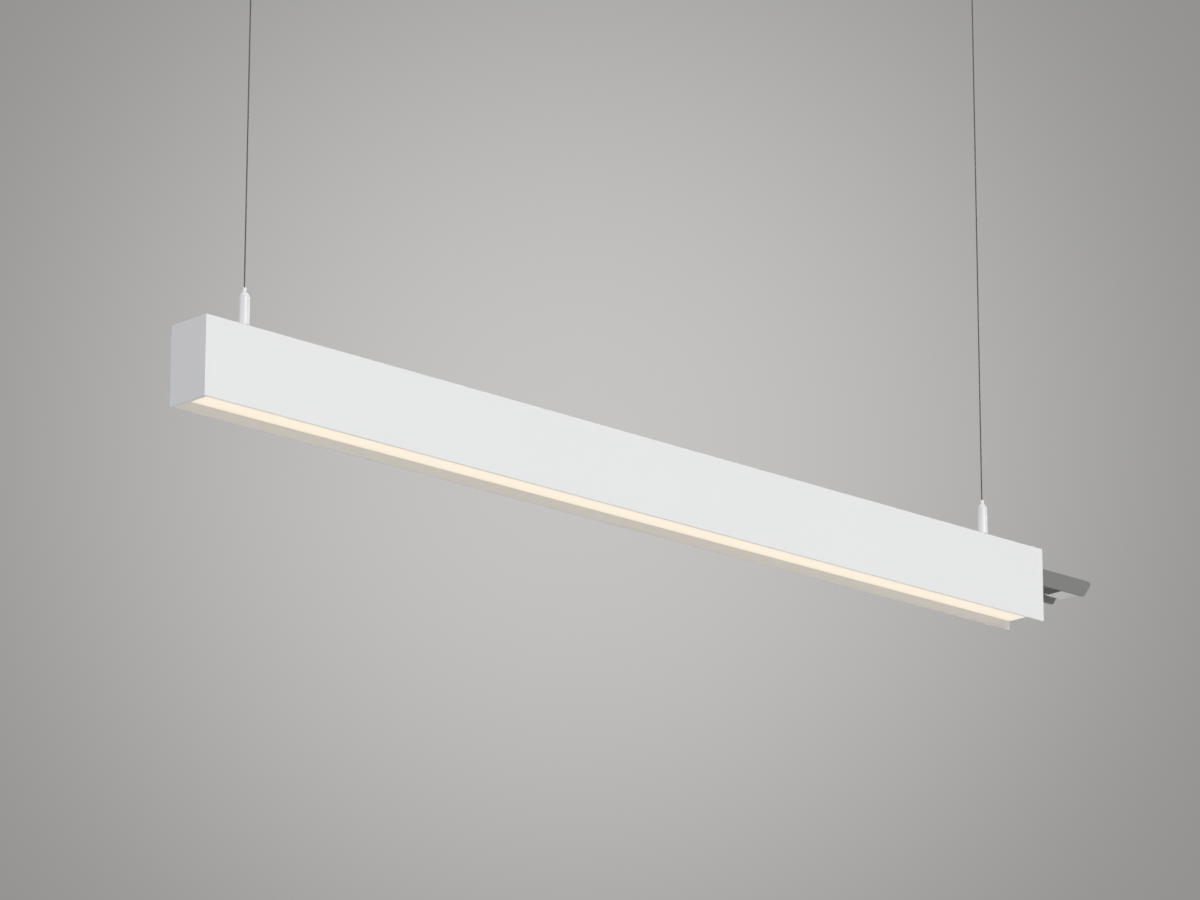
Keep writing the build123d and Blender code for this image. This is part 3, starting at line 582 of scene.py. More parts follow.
def turned(outline: Iterable[Point], centre: Vector, bevel_mm: float, steps: int = 72) -> bmesh.types.BMesh:
    """Turn a closed half outline about an upright axis.

    Args:
        outline: Points of (radius, height) in millimetres.
        centre: Place of the axis and of height zero.
        bevel_mm: Rounding of its corners.
        steps: Faces round it.

    Returns:
        A closed solid.
    """
    shape = bmesh.new()
    edges = link_edges(shape, [Vector((radius * MM, 0, height * MM)) for radius, height in outline])
    bmesh.ops.spin(shape, geom=list(shape.verts) + edges, cent=(0, 0, 0), axis=Z_WAY, dvec=(0, 0, 0),
                   angle=2 * math.pi, steps=steps, use_merge=True, use_duplicate=False)
    bmesh.ops.remove_doubles(shape, verts=shape.verts, dist=MERGE)
    bmesh.ops.delete(shape, geom=[edge for edge in shape.edges if edge.is_wire], context="EDGES")
    soften(shape, bevel_mm)
    bmesh.ops.translate(shape, verts=shape.verts, vec=centre)
    return shape


def to_mesh(shape: bmesh.types.BMesh, name: str) -> bpy.types.Mesh:
    """Turn a shape into a mesh.

    Args:
        shape: The shape, freed here.
        name: Name of the mesh.

    Returns:
        The mesh.
    """
    mesh = bpy.data.meshes.new(name)
    shape.to_mesh(mesh)
    shape.free()
    return mesh


def add_object(name: str, data: bpy.types.ID) -> bpy.types.Object:
    """Link a new object to the scene.

    Args:
        name: Its name.
        data: Its mesh, light or camera.

    Returns:
        The object.
    """
    made = bpy.data.objects.new(name, data)
    bpy.context.scene.collection.objects.link(made)
    return made


def make_piece(shape: bmesh.types.BMesh, name: str, surface: Surface, body: str,
               replaced: Iterable[str]) -> bpy.types.Object:
    """Turn a finished shape into a piece of the light, dress it and seat it on its body.

    Args:
        shape: Closed shape in the part's frame, freed here.
        name: Name of the piece.
        surface: Its finish.
        body: Body that it moves with.
        replaced: Nodes that it stands for.

    Returns:
        The piece.
    """
    bmesh.ops.recalc_face_normals(shape, faces=shape.faces)
    mesh = to_mesh(shape, name)
    mesh.shade_smooth()
    mesh.set_sharp_from_angle(angle=math.radians(SMOOTH_DEGREES))
    mesh.materials.append(surface.material())
    piece = add_object(name, mesh)
    settle_normals(piece)
    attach(piece, body)
    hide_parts(*replaced)
    LOG.info("%s: %d faces on %s", name, len(piece.data.polygons), body)
    return piece


def settle_normals(piece: bpy.types.Object) -> None:
    """Weigh the normals by face area, so that flat faces stay flat beside their rounded edges.

    Args:
        piece: Piece whose mesh is replaced by the weighed one.
    """
    weigh = piece.modifiers.new("weighted_normals", "WEIGHTED_NORMAL")
    weigh.keep_sharp = True
    graph = bpy.context.evaluated_depsgraph_get()
    old = piece.data
    piece.data = bpy.data.meshes.new_from_object(piece.evaluated_get(graph), depsgraph=graph)
    piece.modifiers.clear()
    bpy.data.meshes.remove(old)
    piece.data.name = piece.name


def dress_nodes(surface: Surface, *names: str) -> None:
    """Give nodes of the frame a finish.

    Args:
        surface: The finish.
        names: Nodes that keep their own shape.
    """
    for name in names:
        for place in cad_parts[name].material_slots:
            place.material = surface.material()
        LOG.info("%s: %s", name, surface.title)


# Sub-assemblies

@dataclass
class Housing:
    """Extruded box profile with its end cap and opal lens, in millimetres below the roof."""

    half_width: float = 27.0
    height: float = 84.0
    wall: float = 2.0
    roof: float = 2.2
    corner: float = 0.8
    rib: float = 1.6
    groove_top: float = 21.7
    groove_bottom: float = 41.3
    lip_outer: float = 21.9
    lip_inner: float = 20.5
    lip_depth: float = 3.0
    lens_ribs: tuple[float, float] = (71.8, 68.4)
    lens_rib: float = 1.2
    lens_bottom: float = 74.0
    lens_thick: float = 2.0
    lens_half_width: float = 24.7
    lens_leg_outer: float = 23.4
    lens_leg: float = 1.4
    lens_leg_top: float = 64.0
    lens_hook: float = 67.0
    lens_hook_reach: float = 24.5
    edge: float = 0.2
    corner_faces: int = 4
    rim_faces: int = 3
    edge_degrees: float = 30.0
    end_on: float = 0.9
    body: str = "fixture"

    def inner_side(self) -> list[Point]:
        """Give the inner outline of one wall, from its foot up to the roof.

        Returns:
            Points of (place across, depth below the roof) in order.
        """
        inner = self.half_width - self.wall
        rib = inner - self.lens_rib
        points = [(self.half_width, self.height), (inner, self.height)]
        for level in self.lens_ribs:
            upper = level - self.lens_rib
            points += [(inner, level), (rib, level), (rib, upper), (inner, upper)]
        low, high = self.groove_bottom, self.groove_top
        points += [(inner, low + self.rib), (self.lip_inner, low + self.rib),
                   (self.lip_inner, low - self.lip_depth), (self.lip_outer, low - self.lip_depth),
                   (self.lip_outer, low), (inner, low)]
        points += [(inner, high), (self.lip_outer, high), (self.lip_outer, high + self.lip_depth),
                   (self.lip_inner, high + self.lip_depth), (self.lip_inner, high - self.rib),
                   (inner, high - self.rib)]
        return points + [(inner, self.roof)]

    def extrude(self, side: list[Point], start: float, end: float) -> bmesh.types.BMesh:
        """Extrude a cross section along the light.

        Args:
            side: Right half of its outline.
            start: Place along the light where it starts, in metres.
            end: Place where it ends.

        Returns:
            A closed solid.
        """
        outline = [Vector((start, across * MM, ROOF - depth * MM)) for across, depth in mirrored(side)]
        return prism(outline, X_WAY * (end - start))

    def build_profile(self) -> None:
        """Extrude the profile, round its outer corners and bare its sawn end."""
        shape = self.extrude([(self.half_width, 0.0)] + self.inner_side(), HOUSING_LOW.x, OPEN_END)
        skin = (self.half_width - self.edge) * MM
        foot = ROOF - (self.height - self.edge) * MM
        along = [edge for edge in shape.edges if abs(edge.verts[0].co.x - edge.verts[1].co.x) > skin]
        corners = [edge for edge in along if abs(edge.verts[0].co.y) > skin]
        tips = [edge for edge in along if edge.verts[0].co.z < foot and edge not in corners]
        bevel_edges(shape, corners, self.corner * MM, self.corner_faces)
        bevel_edges(shape, [edge for edge in tips if edge.is_valid], self.edge * MM)
        piece = make_piece(shape, "housing_profile", COAT, self.body, ["housing"])
        piece.data.materials.append(SAWN.material())
        for face in piece.data.polygons:
            if face.normal.x > self.end_on:
                face.material_index = 1

    def build_cap(self) -> None:
        """Model the plain cap, rounded all round, with a hairline joint to the profile."""
        shape = bmesh.new()
        bmesh.ops.create_cube(shape, size=1.0)
        bmesh.ops.scale(shape, verts=shape.verts, vec=CAP_HIGH - CAP_LOW)
        bmesh.ops.translate(shape, verts=shape.verts, vec=(CAP_HIGH + CAP_LOW) / 2)
        along = [edge for edge in shape.edges if edge.verts[0].co.x != edge.verts[1].co.x]
        bevel_edges(shape, along, self.corner * MM, self.corner_faces)
        for x, width, faces in ((CAP_LOW.x, 2 * self.edge, self.rim_faces), (CAP_HIGH.x, self.edge / 2, 1)):
            rim = [edge for edge in sharp_edges(shape, self.edge_degrees)
                   if all(abs(end.co.x - x) < MERGE for end in edge.verts)]
            bevel_edges(shape, rim, width * MM, faces)
        make_piece(shape, "end_cap_plain", COAT, self.body, ["end_cap"])

    def build_lens(self) -> None:
        """Extrude the lens with its two hooked legs."""
        low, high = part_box("lens")
        top = self.lens_bottom - self.lens_thick
        leg_inner = self.lens_leg_outer - self.lens_leg
        side = [(self.lens_half_width, self.lens_bottom), (self.lens_half_width, top),
                (self.lens_leg_outer, top), (self.lens_leg_outer, self.lens_hook),
                (self.lens_hook_reach, self.lens_hook),
                (self.lens_leg_outer, self.lens_leg_top), (leg_inner, self.lens_leg_top), (leg_inner, top)]
        shape = self.extrude(side, low.x, high.x)
        foot = ROOF - (self.lens_bottom - self.edge) * MM
        rims = [edge for edge in shape.edges if all(end.co.z < foot for end in edge.verts)]
        bevel_edges(shape, rims, 2 * self.edge * MM, self.rim_faces)
        make_piece(shape, "lens_opal", OPAL, self.body, ["lens"])

    def build(self) -> None:
        """Build the profile, the cap and the lens."""
        self.build_profile()
        self.build_cap()
        self.build_lens()


@dataclass
class Joiner:
    """Steel blade in one wall's groove with its four grub screws, in millimetres."""

    wall: Wall
    nose_rise: float = 2.5
    nose_run: float = 5.0
    rake: float = 12.5
    corner: float = 2.0
    grub_from_joint: tuple[float, float] = (22.0, 52.0)
    grub_hole: float = 2.55
    grub: float = 2.5
    grub_length: float = 4.5
    socket: float = 1.2
    socket_depth: float = 2.0
    socket_sides: int = 6
    edge: float = 0.25
    edge_degrees: float = 60.0

    @property
    def body(self) -> str:
        """Body of this blade."""
        return f"joiner_{self.wall.word}"

    def grub_centres(self) -> list[Vector]:
        """Give the places of the grub screws on the blade's outer face.

        Returns:
            Their centres, from the blade's inner end to its tip.
        """
        low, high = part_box(f"joiner_blade_{self.wall.word}")
        outer = high.y if self.wall is Wall.BACK else low.y
        steps = [way * step * MM for way in (-1, 1) for step in self.grub_from_joint]
        return [Vector((OPEN_END + step, outer, (low.z + high.z) / 2)) for step in steps]

    def build_blade(self) -> None:
        """Cut the drilled blade, with a small bevel above and a long rake below at both ends."""
        node = f"joiner_blade_{self.wall.word}"
        low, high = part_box(node)
        outer, inner = (high.y, low.y) if self.wall is Wall.BACK else (low.y, high.y)
        nose = high.z - self.nose_rise * MM
        run, rake = self.nose_run * MM, self.rake * MM
        side = [(low.x + run, high.z), (high.x - run, high.z), (high.x, nose), (high.x - rake, low.z),
                (low.x + rake, low.z), (low.x, nose)]
        holes = [ring_points(place, self.grub_hole * MM, X_WAY, Z_WAY) for place in self.grub_centres()]
        points = rounded(side, self.corner * MM)
        # The rounding takes both tips back, so each half moves out to the box again
        lost = high.x - max(x for x, _ in points)
        outline = [Vector((x + math.copysign(lost, x - OPEN_END), outer, z)) for x, z in points]
        shape = drilled(outline, holes, Y_WAY * (inner - outer))
        soften(shape, self.edge, self.edge_degrees)
        make_piece(shape, f"joiner_blade_{self.wall.word}_strip", ZINC, self.body, [node])

    def build_screws(self) -> None:
        """Model the grub screws with their hexagon sockets, as one group."""
        way = Y_WAY * self.wall.value * MM
        group = bmesh.new()
        for place in self.grub_centres():
            tail = place - way * self.grub_length
            add_bored(group, [(ring_points(tail, self.grub * MM, X_WAY, Z_WAY), way * self.grub_length),
                              (ring_points(tail, self.socket * MM, X_WAY, Z_WAY, self.socket_sides),
                               way * self.socket_depth)])
        node = f"joiner_screws_{self.wall.word}"
        make_piece(group, f"{node}_socket", ZINC, self.body, [node])

    def build(self) -> None:
        """Build the blade and its screws."""
        self.build_blade()
        self.build_screws()


@dataclass
class FeedPlug:
    """Three-pole plug on its rubber boot at the open end, in millimetres."""

    corner: float = 2.0
    pin_hole: float = 1.8
    pin_depth: float = 12.0
    pin_pitch: float = 9.0
    boot_corner: float = 3.5
    ring_count: int = 5
    ring_pitch: float = 4.0
    ring_width: float = 2.0
    ring_depth: float = 0.8
    edge: float = 0.35
    edge_degrees: float = 50.0
    corner_spans: int = 4
    body: str = "fixture"

    def outline(self, node: str, x: float, corner: float) -> list[Vector]:
        """Give the rounded outline of a node's box across the light.

        Args:
            node: Node that has the box.
            x: Place of the outline along the light, in metres.
            corner: Radius of its corners.

        Returns:
            Its points in order.
        """
        low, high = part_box(node)
        square = [(high.y, high.z), (low.y, high.z), (low.y, low.z), (high.y, low.z)]
        points = rounded(square, corner * MM, self.corner_spans)
        return [Vector((x, across, level)) for across, level in points]

    def pin_rows(self) -> list[float]:
        """Give the sideways places of the three poles, in metres."""
        return [row * self.pin_pitch * MM for row in (-1, 0, 1)]

    def build_body(self) -> None:
        """Mould the plug's body, with a deep round recess for each pole."""
        low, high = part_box("feed_plug")
        rims = [(self.outline("feed_plug", high.x, self.corner), X_WAY * (low.x - high.x))]
        for row in self.pin_rows():
            pole = Vector((high.x, row, (low.z + high.z) / 2))
            rims.append((ring_points(pole, self.pin_hole * MM, Y_WAY, Z_WAY), X_WAY * -self.pin_depth * MM))
        shape = bmesh.new()
        add_bored(shape, rims)
        soften(shape, self.edge, self.edge_degrees)
        make_piece(shape, "feed_plug_body", POLYAMIDE, self.body, ["feed_plug"])

    def build_boot(self) -> None:
        """Draw the boot out in steps, with moulded rings just behind the plug."""
        low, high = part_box("plug_boot")
        size = high - low
        axis = Matrix.Translation((0, 0, -(low.z + high.z) / 2))
        stops = [(low.x, 0.0)]
        first = high.x - self.ring_count * self.ring_pitch * MM
        for ring in range(self.ring_count):
            start = first + ring * self.ring_pitch * MM
            end = start + self.ring_width * MM
            stops += [(start, 0.0), (start, self.ring_depth), (end, self.ring_depth), (end, 0.0)]
        stops.append((high.x, 0.0))
        shape = bmesh.new()
        outline = self.outline("plug_boot", low.x, self.boot_corner)
        edges = list(shape.faces.new([shape.verts.new(point) for point in outline]).edges)
        for (x0, depth0), (x1, depth1) in zip(stops, stops[1:]):
            corners, edges = draw_out(shape, edges, X_WAY * (x1 - x0))
            shrink = [(span - 2 * depth1 * MM) / (span - 2 * depth0 * MM) for span in (size.y, size.z)]
            bmesh.ops.scale(shape, verts=corners, vec=(1.0, *shrink), space=axis)
        bmesh.ops.contextual_create(shape, geom=edges)
        soften(shape, self.edge, self.edge_degrees)
        make_piece(shape, "plug_boot_ringed", RUBBER, self.body, ["plug_boot"])

    def build(self) -> None:
        """Build the plug and its boot, and give its contacts their brass."""
        self.build_body()
        self.build_boot()
        dress_nodes(BRASS, "plug_contacts")


@dataclass
class Hanger:
    """One suspension point from the ceiling to the roof, radii and heights in millimetres."""

    side: Side
    fitting: float = 11.0
    flange: float = 2.0
    neck: float = 8.0
    neck_foot: float = 10.0
    screw_hole: float = 2.25
    screw_sink: float = 4.4
    cap_foot: float = 26.0
    cap_edge: float = 2.0
    cap_mouth: float = 6.0
    cap_throat: float = 4.4
    bowl: float = 7.05
    pivot: float = 17.0
    run: float = 0.05
    stop: float = 2.5
    stop_shank: float = 1.4
    stop_length: float = 8.0
    stop_grip: float = 4.0
    stop_bore: float = 0.78
    barrel: float = 5.5
    barrel_base: float = 11.0
    shoulder: float = 40.0
    barrel_top: float = 44.1
    barrel_top_r: float = 2.6
    nose: float = 2.1
    nose_top: float = 49.0
    nose_chamfer: float = 0.6
    plunger_flange: float = 2.9
    plunger_flange_thick: float = 2.0
    plunger_tube: float = 1.75
    plunger_foot: float = 30.7
    chamber: float = 3.2
    chamber_floor: float = 35.2
    wedge_top: float = 2.19
    spring_bore: float = 4.2
    wedge_foot: float = 23.8
    cable_bore: float = 1.1
    grip_balls: int = 3
    grip_ball: float = 1.2
    grip_ring: float = 1.98
    grip_rise: float = 29.3
    foot_flange: float = 9.5
    foot_neck: float = 2.4
    foot_top: float = 16.0
    ball: float = 4.5
    ball_rise: float = 4.0
    cup: float = 6.8
    ring: float = 8.0
    ring_base: float = 1.0
    ring_top: float = 7.5
    ring_mouth: float = 3.6
    stem: float = 4.0
    stem_foot: float = -7.0
    stem_throat: float = 1.9
    stem_mouth: float = 3.0
    edge: float = 0.2
    thin_edge: float = 0.1
    nose_edge: float = 0.12
    barrel_edge: float = 0.15
    ring_edge: float = 0.25
    ball_spans: int = 24
    cup_spans: int = 14
    grip_columns: int = 32
    grip_rows: int = 16

    def turn(self, node: str, outline: list[Point], height: float, body: str, bevel_mm: float,
             surface: Surface = LACQUER, slot: str = "white_fittings") -> bpy.types.Object:
        """Turn one piece on the hanger's axis.

        Args:
            node: Node that it stands for, without its side.
            outline: Closed half outline in millimetres.
            height: Height of the outline's zero, in metres.
            body: Body that it moves with.
            bevel_mm: Rounding of its corners.
            surface: Its finish.
            slot: Material slot of the record that it stands for; not used.

        Returns:
            The piece.
        """
        name = f"{node}_{self.side.value}"
        shape = turned(outline, Vector((self.side.x, 0, height)), bevel_mm)
        return make_piece(shape, f"{name}_turned", surface, body, [name])

    def build_ceiling(self) -> list[bpy.types.Object]:
        """Turn the ceiling base, its cap and the stop on the cable's end.

        Returns:
            The three pieces.
        """
        sink = self.screw_sink - self.screw_hole
        base = [(self.screw_hole, 0), (self.fitting, 0), (self.fitting, -self.flange),
                (self.neck, -self.flange), (self.neck, -self.neck_foot), (self.screw_sink, -self.neck_foot),
                (self.screw_hole, sink - self.neck_foot)]
        bore = self.neck + self.run
        bowl = arc(self.bowl, -self.pivot, -self.cap_throat, self.bowl)
        cap = [(bore, -self.flange), (self.fitting, -self.flange),
               (self.fitting, self.cap_edge - self.cap_foot),
               (self.fitting - self.cap_edge, -self.cap_foot), (self.cap_mouth, -self.cap_foot)]
        cap += bowl + [(bore, -self.pivot)]
        foot = -self.pivot - self.stop_length
        socket = foot + self.stop_grip
        stop = arc(self.stop, -self.pivot, 0.0, -self.stop_shank, self.ball_spans)
        stop += [(self.stop_shank, foot), (self.stop_bore, foot), (self.stop_bore, socket), (0.0, socket)]
        body = "ceiling_fittings"
        cable = f"cable_{self.side.value}"
        return [self.turn("ceiling_base", base, 0.0, body, self.edge),
                self.turn("ceiling_cap", cap, 0.0, body, self.edge),
                self.turn("cable_stop", stop, 0.0, cable, self.thin_edge, STEEL, "screw_steel")]

    def build_balls(self) -> None:
        """Set the gripping balls round the cable, as one group."""
        node = f"gripper_balls_{self.side.value}"
        shape = bmesh.new()
        ring = ring_points(Vector((self.side.x, 0, ROOF + self.grip_rise * MM)), self.grip_ring * MM,
                           X_WAY, Y_WAY, self.grip_balls)
        for place in ring:
            bmesh.ops.create_uvsphere(shape, u_segments=self.grip_columns, v_segments=self.grip_rows,
                                      radius=self.grip_ball * MM, matrix=Matrix.Translation(place))
        make_piece(shape, f"{node}_set", STEEL, f"plunger_{self.side.value}", [node])

    def build_gripper(self) -> None:
        """Turn the gripper's barrel, release nose and swivel foot."""
        hole = self.nose + 2 * self.run
        barrel = [(self.barrel, self.barrel_base), (self.barrel, self.shoulder),
                  (self.barrel_top_r, self.barrel_top), (hole, self.barrel_top), (hole, self.shoulder),
                  (self.chamber, self.shoulder), (self.chamber, self.chamber_floor),
                  (self.wedge_top, self.chamber_floor), (self.spring_bore, self.wedge_foot),
                  (self.spring_bore, self.barrel_base)]
        roof = self.shoulder - self.run
        flange = roof - self.plunger_flange_thick
        nose = [(self.cable_bore, self.nose_top), (self.nose - self.nose_chamfer, self.nose_top),
                (self.nose, self.nose_top - self.nose_chamfer), (self.nose, roof),
                (self.plunger_flange, roof), (self.plunger_flange, flange), (self.plunger_tube, flange),
                (self.plunger_tube, self.plunger_foot), (self.cable_bore, self.plunger_foot)]
        plug = self.spring_bore - self.run
        foot = [(self.cable_bore, self.foot_top), (plug, self.foot_top), (plug, self.barrel_base),
                (self.barrel, self.barrel_base), (self.barrel, self.foot_flange),
                (self.foot_neck, self.foot_flange)]
        foot += arc(self.ball, self.ball_rise, self.foot_neck, -self.cable_bore, self.ball_spans)
        body = f"gripper_{self.side.value}"
        plunger = f"plunger_{self.side.value}"
        self.turn("gripper_body", barrel, ROOF, body, self.barrel_edge)
        self.turn("gripper_foot", foot, ROOF, body, self.barrel_edge)
        self.turn("gripper_plunger", nose, ROOF, plunger, self.nose_edge, slot="white_plunger")

    def build_swivel(self) -> None:
        """Turn the cup on the roof and the ring that closes it."""
        pocket = self.ball + self.run
        cup = [(self.stem_mouth, self.stem_foot), (self.stem, self.stem_foot), (self.stem, 0), (self.ring, 0),
               (self.ring, self.ring_base), (self.cup, self.ring_base), (self.cup, self.ball_rise)]
        cup += arc(pocket, self.ball_rise, pocket, -self.stem_throat, self.cup_spans)
        thread = self.cup + self.run
        ring = [(thread, self.ring_base), (self.ring, self.ring_base), (self.ring, self.ring_top)]
        ring += [(self.ring_mouth, self.ring_top)] + arc(pocket, self.ball_rise, self.ring_mouth, pocket)
        ring += [(thread, self.ball_rise)]
        self.turn("swivel_cup", cup, ROOF, "fixture", self.thin_edge)
        self.turn("swivel_ring", ring, ROOF, "fixture", self.ring_edge)

    def build(self) -> None:
        """Build the hanger, with its cable hung in the ceiling fitting."""
        fittings = self.build_ceiling()
        self.build_gripper()
        self.build_balls()
        self.build_swivel()
        word = self.side.value
        dress_nodes(NYLON, f"swivel_seat_{word}")
        dress_nodes(STEEL, f"ball_carrier_{word}", f"hanger_nut_{word}")
        ReturnSpring(self.side).build()
        WireRope(self.side).build(fittings)


@dataclass
class ReturnSpring:
    """Coiled spring under a gripper's balls, with a closed turn at each end, in millimetres."""

    side: Side
    radius: float = 2.4
    wire: float = 0.3
    turns: int = 5
    end_pitch: float = 1.05
    points_per_turn: int = 24
    wire_sides: int = 12
    travel_m: float = 0.0025

    def build(self) -> None:
        """Wind the wire and seat it on its gripper."""
        node = f"gripper_spring_{self.side.value}"
        low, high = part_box(node)
        pitch = ((high.z - low.z) / MM - 2 * self.wire - 2 * self.end_pitch) / self.turns
        shape = bmesh.new()
        centre = Vector((self.side.x, 0, 0))
        start = Vector((self.side.x + self.radius * MM, 0, low.z + self.wire * MM))
        edges = link_edges(shape, ring_points(start, self.wire * MM, X_WAY, Z_WAY, self.wire_sides))
        ring = list(shape.verts) + edges
        for turns, rise in ((1, self.end_pitch), (self.turns, pitch), (1, self.end_pitch)):
            steps = turns * self.points_per_turn
            ring = bmesh.ops.spin(shape, geom=ring, cent=centre, axis=Z_WAY,
                                  dvec=Z_WAY * (rise * MM / self.points_per_turn), angle=2 * math.pi * turns,
                                  steps=steps, use_merge=False, use_duplicate=False)["geom_last"]
        close_ends(shape)
        piece = make_piece(shape, f"{node}_coil", STEEL, f"gripper_{self.side.value}", [node])
        self.side.x
        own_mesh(piece)


@dataclass
class WireRope:
    """Steel cable of six strands laid round a core, in millimetres."""

    side: Side
    radius: float = 0.75
    strands: int = 6
    points_per_strand: int = 6
    strand_reach: float = 120.0
    lay: float = 11.0
    points_per_turn: int = 12
    seam: float = 0.01
    raise_m: float = 0.4

    def centreline(self) -> list[Vector]:
        """Read the smooth line of the cable, from its tail in the housing up to the swaged stop.

        Returns:
            Points along it in order.
        """
        low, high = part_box(f"cable_{self.side.value}")
        route = [Vector((self.side.x, 0, z)) for z in (low.z, (low.z + high.z) / 2, high.z)]
        curve = bpy.data.curves.new("cable_line", "CURVE")
        curve.dimensions = "3D"
        spline = curve.splines.new("NURBS")
        spline.points.add(len(route) - 1)
        for point, place in zip(spline.points, route):
            point.co = (*place, 1.0)
        spline.order_u = 3
        spline.use_endpoint_u = True
        holder = bpy.data.objects.new("cable_line", curve)
        line = bpy.data.meshes.new_from_object(holder)
        points = [vertex.co.copy() for vertex in line.vertices]
        bpy.data.objects.remove(holder)
        bpy.data.curves.remove(curve)
        bpy.data.meshes.remove(line)
        return points

    def section(self, centre: Vector) -> list[Vector]:
        """Give the outline of the laid strands, lobe by lobe.

        Args:
            centre: Middle of the cable.

        Returns:
            The outline's points in order.
        """
        strand = self.radius / 3 * MM
        reach = math.radians(self.strand_reach)
        points = []
        for lobe in range(self.strands):
            middle = 2 * math.pi * lobe / self.strands
            turns = [middle + reach * ((step + 0.5) * 2 / self.points_per_strand - 1)
                     for step in range(self.points_per_strand)]
            points += [centre + X_WAY * strand * (2 * math.cos(middle) + math.cos(turn))
                       + Y_WAY * strand * (2 * math.sin(middle) + math.sin(turn)) for turn in turns]
        return points

    def lay_strands(self, points: list[Vector]) -> bmesh.types.BMesh:
        """Draw the section out along the cable while it turns.

        Args:
            points: The centreline.

        Returns:
            A closed solid.
        """
        run = points[-1] - points[0]
        turns = round(run.length / (self.lay * MM))
        rise = run / turns
        shape = bmesh.new()
        edges = link_edges(shape, self.section(points[0]))
        bmesh.ops.spin(shape, geom=list(shape.verts) + edges, cent=points[0], axis=Z_WAY,
                       dvec=rise / self.points_per_turn, angle=2 * math.pi, steps=self.points_per_turn,
                       use_merge=False, use_duplicate=False)
        one_turn = bpy.data.meshes.new("cable_turn")
        shape.to_mesh(one_turn)
        for _ in range(turns - 1):
            one_turn.transform(Matrix.Translation(rise))
            shape.from_mesh(one_turn)
        bpy.data.meshes.remove(one_turn)
        bmesh.ops.remove_doubles(shape, verts=shape.verts, dist=self.seam * MM)
        close_ends(shape)
        return shape

    def build(self, with_pieces: list[bpy.types.Object]) -> None:
        """Lay the cable and seat it on its own body.

        Args:
            with_pieces: The fittings on its upper end; not used.
        """
        word = self.side.value
        points = self.centreline()
        node = f"cable_{word}"
        piece = make_piece(self.lay_strands(points), f"{node}_rope", STRAND, node, [node])
        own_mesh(piece)


@dataclass
class LightEngine:
    """Tray, boards, driver and wiring inside the housing, on the frame's own shapes."""

    def build(self) -> None:
        """Dress the inner nodes."""
        dress_nodes(REFLECTOR, "gear_tray")
        dress_nodes(MASK, "led_board_left", "led_board_right")
        dress_nodes(PHOSPHOR, "led_chips")
        dress_nodes(POLYCARBONATE, "led_driver")
        dress_nodes(POLYAMIDE, "terminal_block")
        dress_nodes(NYLON, "board_link", "wire_clip", "boot_clamp")
        dress_nodes(RUBBER, "lead_grommet")
        dress_nodes(SHEATH, "supply_wires", "driver_wires", "led_leads")
        dress_nodes(ZINC, "cap_tongues")
        dress_nodes(STEEL, "cap_screws", "tray_screws", "driver_screws")
        dress_nodes(BLACK_STEEL, "cap_grub_screws")


def heading(azimuth: float, elevation: float) -> Vector:
    """Give a direction by its azimuth from +Y towards +X and its height above the horizon.

    Args:
        azimuth: Degrees from +Y towards +X.
        elevation: Degrees above the horizon.

    Returns:
        The direction, of length one.
    """
    turn, rise = math.radians(azimuth), math.radians(elevation)
    return Vector((math.sin(turn) * math.cos(rise), math.cos(turn) * math.cos(rise), math.sin(rise)))


@dataclass(frozen=True)
class SoftSun:
    """A large soft light that is far away, so that it falls evenly along the whole lamp."""

    name: str
    strength: float
    azimuth: float
    elevation: float
    spread: float
    tint: str = "FFFFFF"

    def build(self) -> None:
        """Hang the light, turned towards the lamp."""
        data = bpy.data.lights.new(self.name, "SUN")
        data.energy = self.strength
        data.color = linear(self.tint)[:3]
        data.angle = math.radians(self.spread)
        lamp = add_object(self.name, data)
        lamp.rotation_euler = (-heading(self.azimuth, self.elevation)).to_track_quat("-Z", "Y").to_euler()
        LOG.info("%s: strength %.2f", self.name, self.strength)


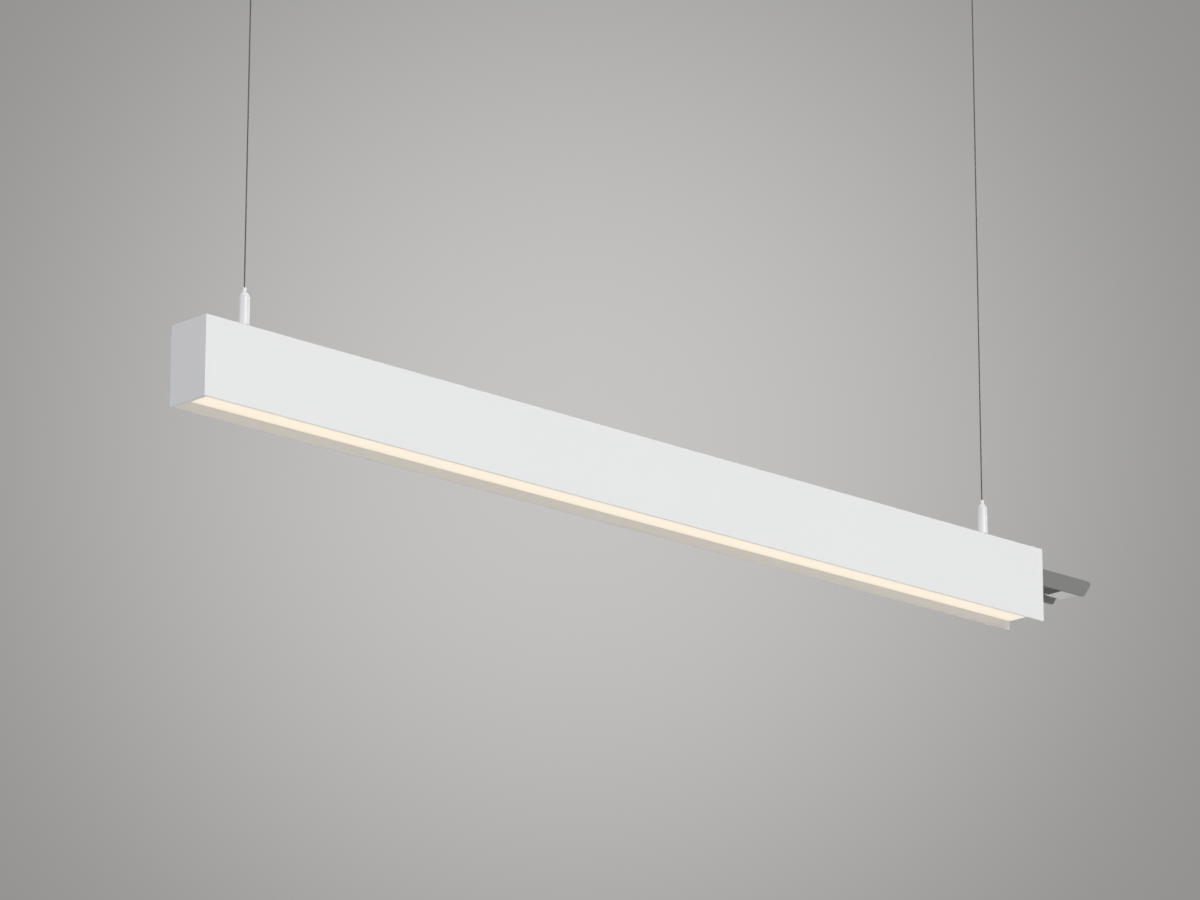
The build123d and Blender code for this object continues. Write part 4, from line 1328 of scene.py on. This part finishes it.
@dataclass
class Studio:
    """Camera, soft lights, backdrop and floor."""

    camera_at: tuple[float, float, float] = (-3.80816, -3.94573, -2.36800)
    azimuth: float = 43.587
    elevation: float = 16.864
    roll: float = 0.106
    sensor_mm: float = 36.0
    focal_px: float = 5431.4
    image_px: float = 1200.0
    sight: float = 200.0
    floor_z: float = -9.0
    floor_size: float = 120.0
    key: SoftSun = SoftSun("key_light", 1.98, 180.0, 12.0, 30.0)
    side: SoftSun = SoftSun("side_light", 0.84, 290.0, 12.0, 40.0, "F4F4FF")
    fill: SoftSun = SoftSun("fill_light", 1.4, 60.0, 20.0, 40.0)
    top: SoftSun = SoftSun("top_light", 0.7, 0.0, 90.0, 60.0)
    under_power: float = 30.0
    under_size: float = 4.0
    under_z: float = -4.0
    back_middle: str = "C5C4C3"
    back_edge: str = "939290"
    back_azimuth: float = 43.3
    back_elevation: float = 16.9
    back_spread: float = 8.5
    back_fade: float = 2.0

    def set_camera(self) -> None:
        """Stand the camera where the picture was taken from."""
        data = bpy.data.cameras.new("camera")
        data.sensor_width = self.sensor_mm
        data.lens = self.focal_px * self.sensor_mm / self.image_px
        data.clip_end = self.sight
        camera = add_object("camera", data)
        aim = heading(self.azimuth, self.elevation).to_track_quat("-Z", "Y").to_matrix().to_4x4()
        camera.matrix_world = (Matrix.Translation(self.camera_at) @ aim
                               @ Matrix.Rotation(math.radians(self.roll), 4, "Z"))
        bpy.context.scene.camera = camera

    def set_lights(self) -> None:
        """Light the front, the closed end, the back and the floor, with a weak panel for the undersides."""
        for light in (self.key, self.side, self.fill, self.top):
            light.build()
        data = bpy.data.lights.new("under_panel", "AREA")
        data.energy = self.under_power
        data.size = self.under_size
        panel = add_object("under_panel", data)
        panel.matrix_world = Matrix.Translation((0, 0, self.under_z)) @ Matrix.Rotation(math.pi, 4, "X")
        panel.visible_camera = False

    def set_backdrop(self) -> None:
        """Paint the grey backdrop, with a soft pool of light behind the lamp."""
        world = bpy.data.worlds.new("grey_backdrop")
        world.use_nodes = True
        bpy.context.scene.world = world
        tree = world.node_tree
        coords = add_node(tree, "TexCoord")
        centre = heading(self.back_azimuth, self.back_elevation)
        near = add_node(tree, "VectorMath", {0: coords.outputs["Generated"]}, {1: centre},
                        operation="DOT_PRODUCT")
        pool = add_node(tree, "MapRange", {"Value": near.outputs["Value"]},
                        {"From Min": math.cos(math.radians(self.back_spread)), "From Max": 1.0})
        soft = add_node(tree, "Math", {0: pool.outputs["Result"]}, {1: self.back_fade}, operation="POWER")
        tone = add_node(tree, "Mix", {"Factor": soft.outputs[0]},
                        {6: linear(self.back_edge), 7: linear(self.back_middle)}, data_type="RGBA")
        tree.links.new(tone.outputs[2], tree.nodes["Background"].inputs["Color"])

    def lay_floor(self) -> None:
        """Lay the pale floor far below the light."""
        shape = bmesh.new()
        bmesh.ops.create_grid(shape, x_segments=1, y_segments=1, size=self.floor_size / 2)
        bmesh.ops.translate(shape, verts=shape.verts, vec=Vector((0, 0, self.floor_z)))
        mesh = to_mesh(shape, "floor")
        mesh.materials.append(PALE_FLOOR.material())
        floor = add_object("floor", mesh)

    def build(self) -> None:
        """Set up the studio with plain display colours."""
        bpy.context.scene.view_settings.view_transform = "Standard"
        self.set_camera()
        self.set_lights()
        self.set_backdrop()
        self.lay_floor()


def main() -> None:
    """Build the studio and the light, sub-assembly by sub-assembly."""
    logging.basicConfig(level=logging.INFO, format="%(name)s: %(message)s")
    Studio().build()
    for side in Side:
        Hanger(side).build()
    Housing().build()
    for wall in Wall:
        Joiner(wall).build()
    FeedPlug().build()
    LightEngine().build()


if __name__ == "__main__":
    main()
